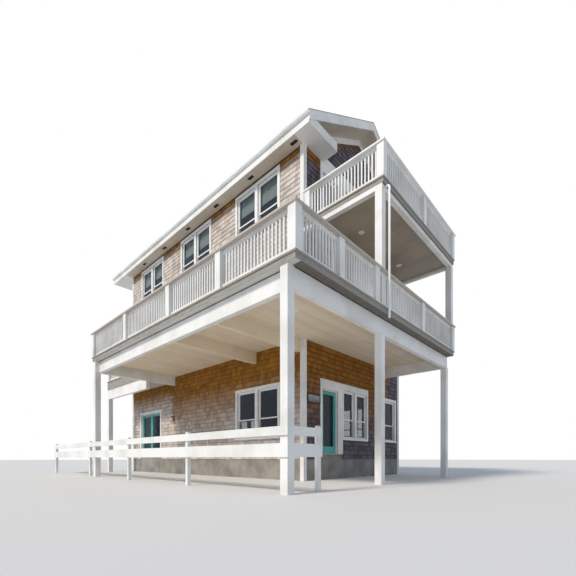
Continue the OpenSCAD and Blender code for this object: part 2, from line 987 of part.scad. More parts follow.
module upper_rails() {
    gap = 5;
    side_l = house_front - corner_proud - 2 * cap_lip - upper_front;
    front_start = upper_left + cap_w + gap;
    front_l = deck_w - upper_left - 2 * (cap_w + gap);
    color("#f5f6f4") placed() {
        along_left(upper_left, upper_front, upper_level)
            railing(side_l, [0, side_l - rail_post_w]);
        translate([front_start, upper_front, upper_level])
            railing(front_l, [(front_l - rail_post_w) / 2]);
        along_right(deck_w, upper_front, upper_level)
            railing(side_l, [0, side_l - rail_post_w]);
    }
}

// Two flat rails on round-topped posts, fixed to the outer faces of the deck posts. The side run
// passes the rear deck post and ends on a post of its own.
module guard_rail() {
    rail_t = 38;
    post = 95;
    heights = [[740, 270], [1165, 180]];
    side_posts = [
        for (i = [1 : 3]) front_setback + i * guard_bay - post / 2,
        guard_end - 2 * post
    ];
    color("#f6f7f5") placed() {
        for (r = heights) {
            block(
                [end_setback - rail_t, front_setback - rail_t, r[0]],
                [end_setback, guard_end, r[0] + r[1]]
            );
            block(
                [end_setback + 1, front_setback - rail_t, r[0]],
                [end_setback + guard_stub, front_setback, r[0] + r[1]]
            );
        }
        for (y = side_posts) guard_post(end_setback + 1, y, post);
        guard_post(end_setback + guard_stub - post, front_setback + 1, post);
    }
}

module guard_post(x, y, w) {
    shoulder_z = 1360;
    block([x, y, 0], [x + w, y + w, shoulder_z]);
    translate([x, y + w / 2, shoulder_z]) rotate([0, 90, 0]) cylinder(r = w / 2, h = w);
}

// Round downspout: an elbow under the edge of the upper deck, then a straight drop in front of
// the main deck's railing.
module downspout() {
    bend_r = 70;
    foot_z = 4360;
    bend_z = upper_under - pipe_r - bend_r - 10;
    color("#f6f7f7") placed() translate([house_left + 110, pipe_y, 0]) {
        translate([0, 0, foot_z]) cylinder(r = pipe_r, h = bend_z - foot_z);
        translate([0, bend_r, bend_z]) rotate([90, 0, -90]) rotate_extrude(angle = 90)
            translate([bend_r, 0]) circle(r = pipe_r);
        translate([0, bend_r, bend_z + bend_r]) rotate([-90, 0, 0])
            cylinder(r = pipe_r, h = upper_post_y - pipe_y - bend_r);
    }
}

foundation();
ground_floor();
framed_floor(main_level);  // main_floor
framed_floor(upper_level);  // upper_floor
left_wall_ground();
left_wall_pier();
left_wall_over_doors();
left_wall_high();
right_wall();
front_wall_pier();
front_wall_ground();
front_wall_over_door();
front_wall_high();
rear_wall();
gable_walls();
roof_slope(fascia_x);  // roof_left
roof_slope(2 * ridge_x - fascia_x);  // roof_right
ridge_cap();
rake_boards();
rake_soffits();
eave_boards();
gutters();
cornice_returns();
corner_boards();
gable_frieze();
left_windows();
right_windows();
front_windows();
rear_windows();
window_glass();
front_door_frame();
front_door_casing();
front_door();
front_door_glass();
side_door_frame();
side_door_near();
side_door_near_glass();
side_door_far();
side_door_far_glass();
main_deck();
main_ceiling();
deck_beams();
ground_posts();
walkway_deck();
upper_deck();
upper_beams();
upper_posts();
main_rail_left();
main_rail_front();
main_rail_ends();
walkway_rails();
upper_rails();
guard_rail();
downspout();
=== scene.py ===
"""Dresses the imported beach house: shingled walls, boarded decks and ceilings, glass and fittings.

Every piece is laid out in the site frame of the CAD source, in millimetres from the outer corner
of the main deck, and `at` turns a place into the row frame in metres.
"""

import logging
import math
import random
from dataclasses import dataclass, field
from enum import Enum
from typing import Any, Sequence

import bmesh
import bpy
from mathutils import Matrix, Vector


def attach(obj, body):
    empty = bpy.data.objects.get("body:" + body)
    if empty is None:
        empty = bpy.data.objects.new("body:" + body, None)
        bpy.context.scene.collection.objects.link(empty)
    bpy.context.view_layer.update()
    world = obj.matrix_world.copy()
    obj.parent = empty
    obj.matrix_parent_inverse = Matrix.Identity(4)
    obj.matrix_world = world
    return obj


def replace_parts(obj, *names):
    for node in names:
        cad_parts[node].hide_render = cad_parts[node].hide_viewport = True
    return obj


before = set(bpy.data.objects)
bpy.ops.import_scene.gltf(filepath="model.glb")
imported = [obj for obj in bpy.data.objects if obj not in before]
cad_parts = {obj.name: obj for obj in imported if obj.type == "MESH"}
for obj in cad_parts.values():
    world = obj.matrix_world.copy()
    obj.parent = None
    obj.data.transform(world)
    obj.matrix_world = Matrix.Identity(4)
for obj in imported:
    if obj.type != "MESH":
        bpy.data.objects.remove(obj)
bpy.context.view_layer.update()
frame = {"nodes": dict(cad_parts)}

LOG = logging.getLogger("beach_house")
HOUSE = "house"
MM = 0.001
SHARP_DEG = 40.0
Point = tuple[float, float, float]
Ring = Sequence[Point]
Socket = bpy.types.NodeSocket
Stop = tuple[float, str]


# Layout.


@dataclass(frozen=True)
class Layout:
    """Sizes repeated from the CAD source, in millimetres in the site frame.

    The four beam places are the inner faces of the beams round the main deck.
    """

    mid_x: float = 5222.5
    mid_y: float = 8182.5
    left: float = 3480.0
    front: float = 2770.0
    right: float = 9940.0
    rear: float = 14960.0
    ground: float = 850.0
    main: float = 4650.0
    upper: float = 8020.0
    soffit: float = 10520.0
    fascia_x: float = 3030.0
    eave_z: float = 10870.0
    ridge_x: float = 6710.0
    pitch: float = 0.583
    rake_h: float = 290.0
    roof_front: float = 2150.0
    roof_rear: float = 16460.0
    deck_w: float = 8820.0
    deck_l: float = 10700.0
    deck_under: float = 4490.0
    walkway_under: float = 4220.0
    beam_left: float = 330.0
    beam_front: float = 390.0
    beam_right: float = 8630.0
    beam_rear: float = 10510.0
    beam_w: float = 140.0
    beam_low: float = 4060.0
    cross_beams: tuple[float, float] = (2885.0, 4950.0)
    ceiling: float = 4450.0
    walkway_x: float = 2120.0
    upper_left: float = 3400.0
    upper_under: float = 7860.0
    upper_ceiling: float = 7820.0
    casing: float = 100.0
    corner_board: float = 110.0
    return_l: float = 1420.0

    @property
    def ridge_z(self) -> float:
        """Height of the ridge line."""
        return self.eave_z + (self.ridge_x - self.fascia_x) * self.pitch

    def roof_top(self, x: float) -> float:
        """Height of the roof's top surface over a place on the gable."""
        return self.ridge_z - abs(x - self.ridge_x) * self.pitch

    def across(self, x: float, mirrored: bool) -> float:
        """Returns a place across the house, or its mirror image on the other side of the ridge."""
        return 2 * self.ridge_x - x if mirrored else x


SITE = Layout()
# Height of a course of shingles, and where the lowest course starts.
COURSE, FIRST_COURSE = 164.0, 680.0


def at(x: float, y: float, z: float) -> Vector:
    """Turns a site place into the row frame.

    Args:
        x, y, z: The place in site millimetres.

    Returns:
        The same place in the row frame, in metres.
    """
    return Vector((x - SITE.mid_x, y - SITE.mid_y, z)) * MM


class Side(Enum):
    """An outer face of the house."""

    LEFT = "left"
    RIGHT = "right"
    FRONT = "front"
    REAR = "rear"


@dataclass(frozen=True)
class Panel:
    """A rectangle on a wall: from start to end along it, and from low to high."""

    start: float
    end: float
    low: float
    high: float


@dataclass(frozen=True)
class WallFace:
    """The outer face of one side, with places given along it, out from it and up it."""

    side: Side

    def place(self, along: float, out: float, z: float) -> Point:
        """Returns the site place of a point on or off the face."""
        if self.side is Side.LEFT:
            return (SITE.left - out, along, z)
        if self.side is Side.RIGHT:
            return (SITE.right + out, along, z)
        if self.side is Side.FRONT:
            return (along, SITE.front - out, z)
        return (along, SITE.rear + out, z)

    @property
    def span(self) -> tuple[float, float]:
        """Returns the stretch between the corner boards."""
        if self.side in (Side.LEFT, Side.RIGHT):
            return (SITE.front + SITE.corner_board, SITE.rear - SITE.corner_board)
        return (SITE.left + SITE.corner_board, SITE.right - SITE.corner_board)

    def board(self, draft: "MeshDraft", start: Point, end: Point, ease: float,
              tone: float = 0.5) -> None:
        """Adds a board between two places, each given along the face, out from it and up it.

        Args:
            draft: The draft that takes it.
            start, end: Opposite corners.
            ease: Width of the chamfer.
            tone: The board's own shade.
        """
        a, b = self.place(*start), self.place(*end)
        draft.board(tuple(map(min, a, b)), tuple(map(max, a, b)), ease, tone)


def window_pair(centre: float, sill: float, height: float) -> list[Panel]:
    """Returns the two openings of a window pair, as the CAD source places them."""
    half, sash = 70.0, 990.0
    return [
        Panel(centre - half - sash, centre - half, sill, sill + height),
        Panel(centre + half, centre + half + sash, sill, sill + height),
    ]


GROUND_SILL, GROUND_HEAD = 1450.0, 3130.0
PAIR_Y = (4940.0, 8840.0, 12740.0)
STOREY_RISE = (0.0, SITE.main - SITE.ground, SITE.upper - SITE.ground)
DOOR = Panel(4410.0, 5306.0, SITE.ground, SITE.ground + 2180.0)
SIDE_DOOR = Panel(11900.0, 13946.0, SITE.ground, SITE.ground + 2120.0)
HIGH_SILLS = (SITE.main + 600.0, SITE.upper + 600.0)
HIGH_H = 1710.0
FRONT_SASHES = ((5660.0, 6380.0), (6520.0, 7240.0))
GROUND_WIDE, HIGH_WIDE = (8400.0, 9600.0), (8990.0, 9690.0)


def side_pairs(side: Side) -> list[list[Panel]]:
    """Returns the window pairs of a side, the rear or the front, each as a list of openings."""
    ground_h = GROUND_HEAD - GROUND_SILL
    high = [window_pair(y, sill, HIGH_H) for sill in HIGH_SILLS for y in PAIR_Y]
    if side is Side.LEFT:
        return [window_pair(PAIR_Y[0], GROUND_SILL, ground_h), *high]
    if side is Side.RIGHT:
        return [window_pair(y, GROUND_SILL, ground_h) for y in (PAIR_Y[0], PAIR_Y[2])] + high
    if side is Side.REAR:
        return [window_pair(SITE.ridge_x, sill, ground_h) for sill in (GROUND_SILL, *HIGH_SILLS)]
    rows: list[list[Panel]] = []
    for rise in STOREY_RISE:
        low, top = GROUND_SILL + rise, GROUND_HEAD + rise
        wide = GROUND_WIDE if rise == 0.0 else HIGH_WIDE
        rows.append([Panel(*sash, low, top) for sash in FRONT_SASHES])
        rows.append([Panel(*wide, low, top)])
    return rows


# Meshes.


def add_object(name: str, data: bpy.types.ID) -> bpy.types.Object:
    """Makes an object from its data, puts it in the scene and returns it."""
    made = bpy.data.objects.new(name, data)
    bpy.context.scene.collection.objects.link(made)
    return made


class MeshDraft:
    """Gathers closed solids in site millimetres and turns them into one object.

    Each solid carries a tone, from 0 to 1, that its finish turns into its own shade, and a
    share of shelter and bounce, from 0 in the weather to 1 right under a deck or a soffit, that
    sets both the unweathered wood and a painted warm bounce light there.
    """

    def __init__(self) -> None:
        """Starts an empty draft."""
        self.points: list[Point] = []
        self.faces: list[tuple[int, ...]] = []
        self.tones: list[float] = []
        self.shelter_and_bounce_shares: list[float] = []

    def skin(self, rings: Sequence[Ring], tone: float = 0.5, shelter: float = 0.0) -> None:
        """Adds a closed solid that runs through rings of equal length and is capped at its ends.

        Args:
            rings: Rings of points, in order, all with the same number of corners.
            tone: The solid's own shade.
            shelter: How far the solid is kept from the weather, which also sets its painted warm
                bounce light.
        """
        n, base = len(rings[0]), len(self.points)
        for ring in rings:
            self.points.extend(ring)
        made = [tuple(reversed(range(base, base + n)))]
        for r in range(len(rings) - 1):
            a = base + r * n
            made += [(a + i, a + (i + 1) % n, a + n + (i + 1) % n, a + n + i) for i in range(n)]
        last = base + (len(rings) - 1) * n
        made.append(tuple(range(last, last + n)))
        self.faces += made
        self.tones += [tone] * len(made)
        self.shelter_and_bounce_shares += [shelter] * len(made)

    def board(self, low: Point, high: Point, ease: float, tone: float = 0.5) -> None:
        """Adds a solid whose long edges are eased all round, as on a planed board.

        Args:
            low, high: The lowest and highest corners.
            ease: Width of the chamfer on the top and bottom edges.
            tone: The board's own shade.
        """
        (x0, y0, z0), (x1, y1, z1) = low, high
        e = min(ease, (z1 - z0) / 3, (x1 - x0) / 3, (y1 - y0) / 3)
        rings = []
        for z, inset in ((z0, e), (z0 + e, 0.0), (z1 - e, 0.0), (z1, e)):
            rings.append([
                (x0 + inset, y0 + inset, z), (x1 - inset, y0 + inset, z),
                (x1 - inset, y1 - inset, z), (x0 + inset, y1 - inset, z),
            ])
        self.skin(rings, tone)

    def turned(self, centre: Point, profile: Sequence[tuple[float, float]], steps: int,
               axis: int = 2) -> None:
        """Adds a turned solid.

        Args:
            centre: A point on the axis.
            profile: Radius and height pairs along the axis, from one end to the other.
            steps: Sides round the axis.
            axis: 0, 1 or 2 for an axis along X, Y or Z.
        """
        rings = []
        for radius, height in profile:
            ring = []
            for i in range(steps):
                turn = 2 * math.pi * i / steps
                flat = [radius * math.cos(turn), radius * math.sin(turn)]
                flat.insert(axis, height)
                ring.append(tuple(c + d for c, d in zip(centre, flat)))
            rings.append(ring)
        self.skin(rings)

    def build(self, name: str, finish: "Finish", body: str = HOUSE,
              smooth: bool = False) -> bpy.types.Object:
        """Makes the object, dresses it and sets it to ride on its body.

        Args:
            name: Name of the piece.
            finish: Its finish.
            body: The CAD body that carries it.
            smooth: Whether its faces are shaded smooth.

        Returns:
            The finished object.
        """
        mesh = bpy.data.meshes.new(name)
        mesh.from_pydata([at(*p) for p in self.points], [], self.faces)
        for label, values in (("tone", self.tones), ("shelter", self.shelter_and_bounce_shares)):
            mesh.attributes.new(label, "FLOAT", "FACE").data.foreach_set("value", values)
        loose = bmesh.new()
        loose.from_mesh(mesh)
        bmesh.ops.recalc_face_normals(loose, faces=loose.faces)
        loose.to_mesh(mesh)
        loose.free()
        if smooth:
            mesh.shade_smooth()
            mesh.set_sharp_from_angle(angle=math.radians(SHARP_DEG))
        mesh.materials.append(finish.material())
        made = add_object(name, mesh)
        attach(made, body)
        LOG.info("%s: %d faces", name, len(self.faces))
        return made


# Finishes.


def linear(code: str) -> tuple[float, float, float, float]:
    """Turns an sRGB hex colour into linear light.

    Args:
        code: Six hex digits after a hash.

    Returns:
        Red, green, blue and an alpha of 1.
    """
    parts = [int(code[i:i + 2], 16) / 255 for i in (1, 3, 5)]
    rgb = [c / 12.92 if c <= 0.04045 else ((c + 0.055) / 1.055) ** 2.4 for c in parts]
    return (*rgb, 1.0)


def per_metre(size_mm: float) -> float:
    """Returns a texture scale, in features a metre, for a feature of that many millimetres."""
    return 1000.0 / size_mm


def add_node(tree: bpy.types.NodeTree, kind: str, settings: dict[Any, Any] | None = None,
             out: int | str | None = 0) -> Any:
    """Adds a node with its settings and links.

    Args:
        tree: The tree that gets the node.
        kind: The node's type without its ShaderNode prefix.
        settings: Values, or sockets to link, by the name of a property or by the name or number
            of an input. The name "stops" gives a ramp its positions and sRGB hex colours.
        out: Name or number of the output to return, or None for the node itself.

    Returns:
        The output socket, or the node.
    """
    node = tree.nodes.new("ShaderNode" + kind)
    for key, value in (settings or {}).items():
        if key == "stops":
            marks = node.color_ramp.elements
            while len(marks) < len(value):
                marks.new(1.0)
            for mark, (position, code) in zip(marks, value):
                mark.position, mark.color = position, linear(code)
        elif isinstance(value, Socket):
            tree.links.new(value, node.inputs[key])
        elif isinstance(key, str) and key not in node.inputs:
            setattr(node, key, value)
        else:
            node.inputs[key].default_value = value
    return node if out is None else node.outputs[out]


class Bench:
    """A node tree in which a finish is put together, with the patterns that finishes share."""

    def __init__(self, tree: bpy.types.NodeTree) -> None:
        """Takes the tree's shader, and the place in the object that every pattern hangs on."""
        self.tree = tree
        self.shader = tree.nodes["Principled BSDF"]
        self.place = add_node(tree, "TexCoord", out="Object")

    def carried(self, name: str) -> Socket:
        """Returns a value that each solid of a piece carries."""
        return add_node(self.tree, "Attribute", {"attribute_name": name}, "Fac")

    def height(self) -> Socket:
        """Returns the height of each place, in metres."""
        return add_node(self.tree, "SeparateXYZ", {"Vector": self.place}, "Z")

    def ramp(self, value: Socket, *stops: Stop) -> Socket:
        """Returns the colour that a value picks from stops, each a position and an sRGB hex."""
        return add_node(self.tree, "ValToRGB", {"stops": stops, "Fac": value})

    def by_tone(self, shades: Sequence[str]) -> Socket:
        """Returns the shade that each solid takes by its own tone, from the first to the last."""
        last = len(shades) - 1
        return self.ramp(self.carried("tone"), *((i / last, c) for i, c in enumerate(shades)))

    def grain(self, size_mm: float, stretch: Point = (1.0, 1.0, 1.0),
              detail: float = 4.0) -> Socket:
        """Returns a noise whose features are about that size, pulled out by the stretch.

        Args:
            size_mm: Feature size across, in millimetres.
            stretch: Scale along X, Y and Z. Less than 1 pulls the features out.
            detail: Octaves.
        """
        moved = add_node(self.tree, "Mapping", {"Scale": stretch, "Vector": self.place})
        return add_node(self.tree, "TexNoise",
                        {"Scale": per_metre(size_mm), "Detail": detail, "Vector": moved}, "Fac")

    def mix(self, share: Any, under: Any, over: Any, kind: str = "MIX") -> Socket:
        """Blends two colours, by the numbers that a mix node gives its colour sockets.

        Args:
            share: How much of the second colour shows.
            under, over: The two colours.
            kind: How they are blended.
        """
        return add_node(self.tree, "Mix", {"data_type": "RGBA", "blend_type": kind, 0: share,
                                           6: under, 7: over}, 2)

    def overlay(self, colour: Socket, share: float, value: Socket, *stops: Stop) -> Socket:
        """Multiplies a colour by the shades that a value picks.

        Args:
            colour: The colour underneath.
            share: How much of the overlay shows.
            value: What picks the shade.
            stops: Position and sRGB hex pairs, in order.
        """
        return self.mix(share, colour, self.ramp(value, *stops), "MULTIPLY")

    def coat(self, colour: Socket, roughness: float, relief: Socket | None = None,
             depth_mm: float = 0.0, strength: float = 0.6) -> None:
        """Closes the finish: feeds the shader its colour, gloss and relief.

        Args:
            colour: The finished colour.
            roughness: The shader's roughness.
            relief: Heights from 0 to 1, or None for a smooth surface.
            depth_mm: What a height of 1 stands for, in millimetres.
            strength: Share of the relief that shows.
        """
        self.tree.links.new(colour, self.shader.inputs["Base Color"])
        self.shader.inputs["Roughness"].default_value = roughness
        if relief is not None:
            settings = {"Strength": strength, "Distance": depth_mm * MM, "Height": relief}
            self.tree.links.new(add_node(self.tree, "Bump", settings),
                                self.shader.inputs["Normal"])


@dataclass(frozen=True)
class Finish:
    """A real material with its name and the record's slot that it stands for."""

    name: str
    slot: str

    def material(self) -> bpy.types.Material:
        """Returns the material, which is built the first time."""
        made = bpy.data.materials.get(self.name)
        if made is None:
            made = bpy.data.materials.new(self.name)
            made.use_nodes = True
            self.dress(Bench(made.node_tree))
        return made

    def dress(self, bench: Bench) -> None:
        """Fills in the shader."""
        raise NotImplementedError


@dataclass(frozen=True)
class SplitCedar(Finish):
    """Untreated cedar shingles, split and left to weather.

    Rain and sun turn them to a pinkish silver grey. Right under a deck or a soffit they keep the
    golden brown of the fresh wood, and that golden brown also paints the warm bounce light that
    falls there. Each shingle has its own shade, and its grain runs upright.
    """

    weathered: tuple[str, str, str] = ("#c2b7af", "#dad0c9", "#ebe3dd")
    # Golden brown of the unweathered wood, which also paints the warm bounce light under decks and
    # soffits.
    sheltered_and_bounce_lit: tuple[str, str, str] = ("#8f6010", "#a36f16", "#b67f22")
    grain_mm: float = 9.0
    stain_mm: float = 700.0
    course_mm: float = COURSE
    first_course: float = FIRST_COURSE
    # Strength of the painted shadow line under the butts of each course.
    butt_shadow_share: float = 0.5

    def dress(self, bench: Bench) -> None:
        """Mixes the weathered and the golden wood, which carries painted bounce light, and draws
        the grain and the painted butt shadows of the courses over them.
        """
        wood = bench.mix(bench.carried("shelter"), bench.by_tone(self.weathered),
                         bench.by_tone(self.sheltered_and_bounce_lit))
        # The grain is drawn three times as coarse as real cedar grain, so that it shows.
        grain = bench.grain(self.grain_mm, (1.0, 1.0, 0.05))
        wood = bench.overlay(wood, 0.6, grain, (0.3, "#b9b2ab"), (0.62, "#ffffff"))
        stain = bench.grain(self.stain_mm)
        wood = bench.overlay(wood, 0.6, stain, (0.35, "#dcd4cc"), (0.65, "#ffffff"))
        # Painted shadow: a dark line along every course, just below each butt, where the shade of
        # the butt falls.
        course = add_node(bench.tree, "Math", {
            "operation": "MULTIPLY_ADD", 0: bench.height(), 1: per_metre(self.course_mm),
            2: -self.first_course / self.course_mm})
        share = add_node(bench.tree, "Math", {"operation": "FRACT", 0: course})
        wood = bench.overlay(wood, self.butt_shadow_share, share,
                             (0.78, "#ffffff"), (0.94, "#857d76"), (1.0, "#6c655f"))
        bench.coat(wood, roughness=0.85, relief=grain, depth_mm=1.5)


@dataclass(frozen=True)
class BrushedPaint(Finish):
    """Exterior paint brushed on boards: satin, with faint brush marks and a little grime."""

    colour: str = "#f2f3f1"
    grime: str = "#d9d8d2"
    roughness: float = 0.45
    mark_mm: float = 12.0
    patch_mm: float = 900.0

    def dress(self, bench: Bench) -> None:
        """Lets grime gather in large soft patches and breaks the gloss with brush marks."""
        painted = bench.ramp(bench.grain(self.patch_mm), (0.42, self.colour), (0.75, self.grime))
        marks = bench.grain(self.mark_mm, (1.0, 1.0, 0.15), detail=2.0)
        painted = bench.overlay(painted, 0.8, marks, (0.3, "#f4f4f4"), (0.6, "#ffffff"))
        bench.coat(self.top_layer(bench, painted), self.roughness, marks, depth_mm=0.4,
                   strength=0.35)

    def top_layer(self, bench: Bench, painted: Socket) -> Socket:
        """Returns the paint as it is. Kinds of painted piece add to it here."""
        return painted


@dataclass(frozen=True)
class PaintedBoards(BrushedPaint):
    """Boards painted one by one, so that each is a trace off its neighbour's shade."""

    def top_layer(self, bench: Bench, painted: Socket) -> Socket:
        """Adds each board's own shade."""
        return bench.overlay(painted, 0.8, bench.carried("tone"),
                             (0.0, "#f1eeea"), (1.0, "#ffffff"))


@dataclass(frozen=True)
class CappedPaint(BrushedPaint):
    """White painted railing under a flat cap of bare softwood, which the sun has greyed."""

    cap_low: float = 0.0
    bare: tuple[str, str] = ("#a79f96", "#cac2b9")
    grain_mm: float = 14.0

    def top_layer(self, bench: Bench, painted: Socket) -> Socket:
        """Leaves the wood bare from the cap's underside up."""
        capped = add_node(bench.tree, "Math", {
            "operation": "GREATER_THAN", 0: bench.height(), 1: self.cap_low * MM})
        wood = bench.ramp(bench.grain(self.grain_mm), *zip((0.35, 0.65), self.bare))
        return bench.mix(capped, painted, wood)


@dataclass(frozen=True)
class MouldedVinyl(Finish):
    """Extruded white vinyl of the window frames: even in colour, with a soft gloss."""

    colour: str = "#f4f5f4"
    gloss: tuple[float, float] = (0.24, 0.4)
    dust_mm: float = 250.0

    def dress(self, bench: Bench) -> None:
        """Gives the vinyl a trace of dust in its gloss."""
        dust = bench.grain(self.dust_mm)
        bench.coat(bench.ramp(dust, (0.4, self.colour), (0.8, "#e6e6e2")), self.gloss[0])
        low, high = self.gloss
        gloss = add_node(bench.tree, "MapRange", {"To Min": low, "To Max": high, "Value": dust},
                         "Result")
        bench.tree.links.new(gloss, bench.shader.inputs["Roughness"])


@dataclass(frozen=True)
class FloatGlass(Finish):
    """Low-emissivity float glass: its dark blue is partly its own tint and partly a painted
    reflection of the sky, and at a low angle it is a clear mirror.
    """

    colour: str = "#0a1c34"
    cover: float = 0.32
    index: float = 1.52
    reflection_patch_mm: float = 1400.0
    wave_mm: float = 420.0

    def dress(self, bench: Bench) -> None:
        """Lets part of the room show, paints the sky reflection in patches of two blues, and gives
        the sheet the slight waves of real panes.
        """
        # Painted reflection: the sky reflection varies in large patches between two blues.
        reflection_patches = bench.grain(self.reflection_patch_mm, detail=2.0)
        colour = bench.ramp(reflection_patches, (0.3, self.colour), (0.7, "#163c58"))
        waves = bench.grain(self.wave_mm, detail=1.0)
        bench.coat(colour, roughness=0.03, relief=waves, depth_mm=0.3, strength=0.3)
        bench.shader.inputs["IOR"].default_value = self.index
        bench.shader.inputs["Alpha"].default_value = self.cover


@dataclass(frozen=True)
class SawnDeckBoard(Finish):
    """Sawn softwood deck boards, washed out by the sun, with open grain along each board."""

    shades: tuple[str, str, str] = ("#8f8273", "#a99c8c", "#bdb2a3")
    along_y: bool = True
    grain_mm: float = 10.0

    def dress(self, bench: Bench) -> None:
        """Gives each board its own shade and a grain that runs its length."""
        stretch = (1.0, 0.04, 1.0) if self.along_y else (0.04, 1.0, 1.0)
        grain = bench.grain(self.grain_mm, stretch)
        wood = bench.overlay(bench.by_tone(self.shades), 0.7, grain,
                             (0.3, "#a49a90"), (0.65, "#ffffff"))
        bench.coat(wood, roughness=0.8, relief=grain, depth_mm=1.2)


@dataclass(frozen=True)
class GranuleShingle(Finish):
    """Asphalt roof shingles: a felt pressed with dark mineral granules that never shine."""

    shades: tuple[str, str, str] = ("#2e2d2d", "#433f3d", "#585350")
    grit_mm: float = 12.0

    def dress(self, bench: Bench) -> None:
        """Speckles each tab with granules, drawn at 12 mm because 1 mm grit would not show."""
        grit = bench.grain(self.grit_mm, detail=2.0)
        felt = bench.overlay(bench.by_tone(self.shades), 0.75, grit,
                             (0.35, "#8d8a86"), (0.7, "#ffffff"))
        bench.coat(felt, roughness=0.95, relief=grit, depth_mm=1.5)


@dataclass(frozen=True)
class CastConcrete(Finish):
    """Board-cast concrete: grey, blotched by damp and pitted by air bubbles."""

    colour: str = "#9c9992"
    damp_mm: float = 500.0
    pit_mm: float = 25.0

    def dress(self, bench: Bench) -> None:
        """Blotches the grey and pits the face."""
        damp = bench.ramp(bench.grain(self.damp_mm), (0.35, "#7f7c76"), (0.65, self.colour))
        bench.coat(damp, roughness=0.9, relief=bench.grain(self.pit_mm), depth_mm=2.0)


@dataclass(frozen=True)
class WovenShade(Finish):
    """Roller-shade cloth: a plain pale weave, drawn coarser than its 0.5 mm threads."""

    colour: str = "#dff0e2"
    weft_mm: float = 6.0

    def dress(self, bench: Bench) -> None:
        """Draws the weft as fine level lines."""
        weft = bench.grain(self.weft_mm, (0.05, 0.05, 1.0))
        bench.coat(bench.ramp(weft, (0.3, "#cce0d0"), (0.7, self.colour)), roughness=0.8)
        bench.shader.inputs["Sheen Weight"].default_value = 0.2


@dataclass(frozen=True)
class CastMetal(Finish):
    """Powder-coated metal of the small fittings, with a fine pebbled coat."""

    colour: str = "#2a2624"
    metallic: float = 0.6
    roughness: float = 0.45
    pebble_mm: float = 4.0

    def dress(self, bench: Bench) -> None:
        """Breaks the gloss with the pebble of the coat."""
        pebble = bench.grain(self.pebble_mm)
        worn = bench.ramp(pebble, (0.2, self.colour), (0.9, "#8a857f"))
        colour = bench.mix(0.25, linear(self.colour), worn)
        bench.coat(colour, self.roughness, pebble, depth_mm=0.2, strength=0.4)
        bench.shader.inputs["Metallic"].default_value = self.metallic


CEDAR = SplitCedar("split_cedar", "cedar_shingle")
# Painted shade: the front takes cedar whose weathered shades are darkened and cooled for the shade
# on that face, with stronger painted butt shadows.
SHADED_CEDAR = SplitCedar(
    "split_cedar_in_shade", "cedar_shingle",
    weathered=("#4f4a50", "#67606a", "#7c7580"), sheltered_and_bounce_lit=("#8a5808", "#9c660c", "#ae7618"),
    butt_shadow_share=0.85,
)
BACKING = SplitCedar(
    "cedar_backing", "cedar_shingle", weathered=("#5c5048", "#6b5d53", "#75675c"),
)
TRIM = BrushedPaint("brushed_white_trim", "white_trim")
VINYL = MouldedVinyl("moulded_vinyl", "window_vinyl")
GLASS = FloatGlass("float_glass", "window_glass")
TEAL = BrushedPaint("brushed_teal_paint", "teal_door_paint", "#3ba79d", "#348e86", 0.35)
CEILING = PaintedBoards("painted_ceiling_boards", "soffit_paint", "#f3e4cb", "#e9dac0", 0.6)
EDGE_BOARD = PaintedBoards("painted_edge_boards", "soffit_paint", "#d6d6d4", "#c6c6c3", 0.6)
SOFFIT = PaintedBoards("painted_soffit_boards", "soffit_paint", "#ded6c8", "#cbc1b0", 0.6)
UPPER_CEILING = PaintedBoards("painted_upper_ceiling", "soffit_paint", "#b5aa98", "#a1968a", 0.6)
DECKING = SawnDeckBoard("sawn_deck_boards", "deck_boards")
RIM_BOARD = SawnDeckBoard(
    "weathered_rim_boards", "deck_boards", shades=("#a8a59e", "#a39f97", "#b0aca5")
)
# Painted shade: bare wood like the rim boards, but darker, for the shade on the front strips under
# the deck edges.
SHADED_STRIP_BOARD = SawnDeckBoard(
    "bare_strip_boards_in_painted_shade", "deck_boards", shades=("#6f6a64", "#7b766f", "#87817a")
)
MAIN_RAIL = CappedPaint("capped_main_railing", "white_trim", cap_low=SITE.main + 884.0)
ROOFING = GranuleShingle("granule_shingle", "roof_shingle")
ENAMEL = BrushedPaint("baked_gutter_enamel", "gutter_enamel", "#f3f4f4", "#dadbd8", 0.25)
CONCRETE = CastConcrete("cast_concrete", "concrete")
FLOOR_WOOD = SawnDeckBoard(
    "oiled_floor_boards", "floor_wood", shades=("#7a5a3a", "#94704a", "#a8835a")
)
SHADE_CLOTH = WovenShade("woven_shade_cloth", "window_glass")
BRONZE = CastMetal("powder_coated_bronze", "gutter_enamel")
LENS = BrushedPaint("frosted_lamp_lens", "gutter_enamel", "#fbf6ea", "#efe7d6", 0.2)
SIGN_BOARD = SawnDeckBoard(
    "weathered_sign_boards", "cedar_shingle", shades=("#8f8f95", "#a3a4ab", "#b4b5bb"),
    along_y=False,
)
SIGN_FRAME = BrushedPaint("dark_stained_frame", "cedar_shingle", "#3a2c24", "#2c211b", 0.5)


# Walls.


@dataclass(frozen=True)
class Cover:
    """Something that hangs over a wall: its underside, and how far below it the wood stays
    unweathered and takes painted warm bounce light.
    """

    under: float
    reach: float
    gain: float = 1.5

    def share(self, z: float) -> float:
        """Returns how unweathered a height is kept and how much painted bounce light it takes: 1
        close below the cover, 0 far below or above it.
        """
        if z >= self.under:
            return 0.0
        return max(0.0, min(1.0, (1.0 - (self.under - z) / self.reach) * self.gain))


EAVE_COVER = Cover(SITE.soffit, 400.0)
DECK_COVER = Cover(SITE.ceiling, 2600.0)
WALKWAY_COVER = Cover(SITE.ceiling - 200.0, 1100.0)
PORCH_COVERS = (Cover(SITE.ceiling, 2900.0), Cover(SITE.upper_ceiling, 1500.0))


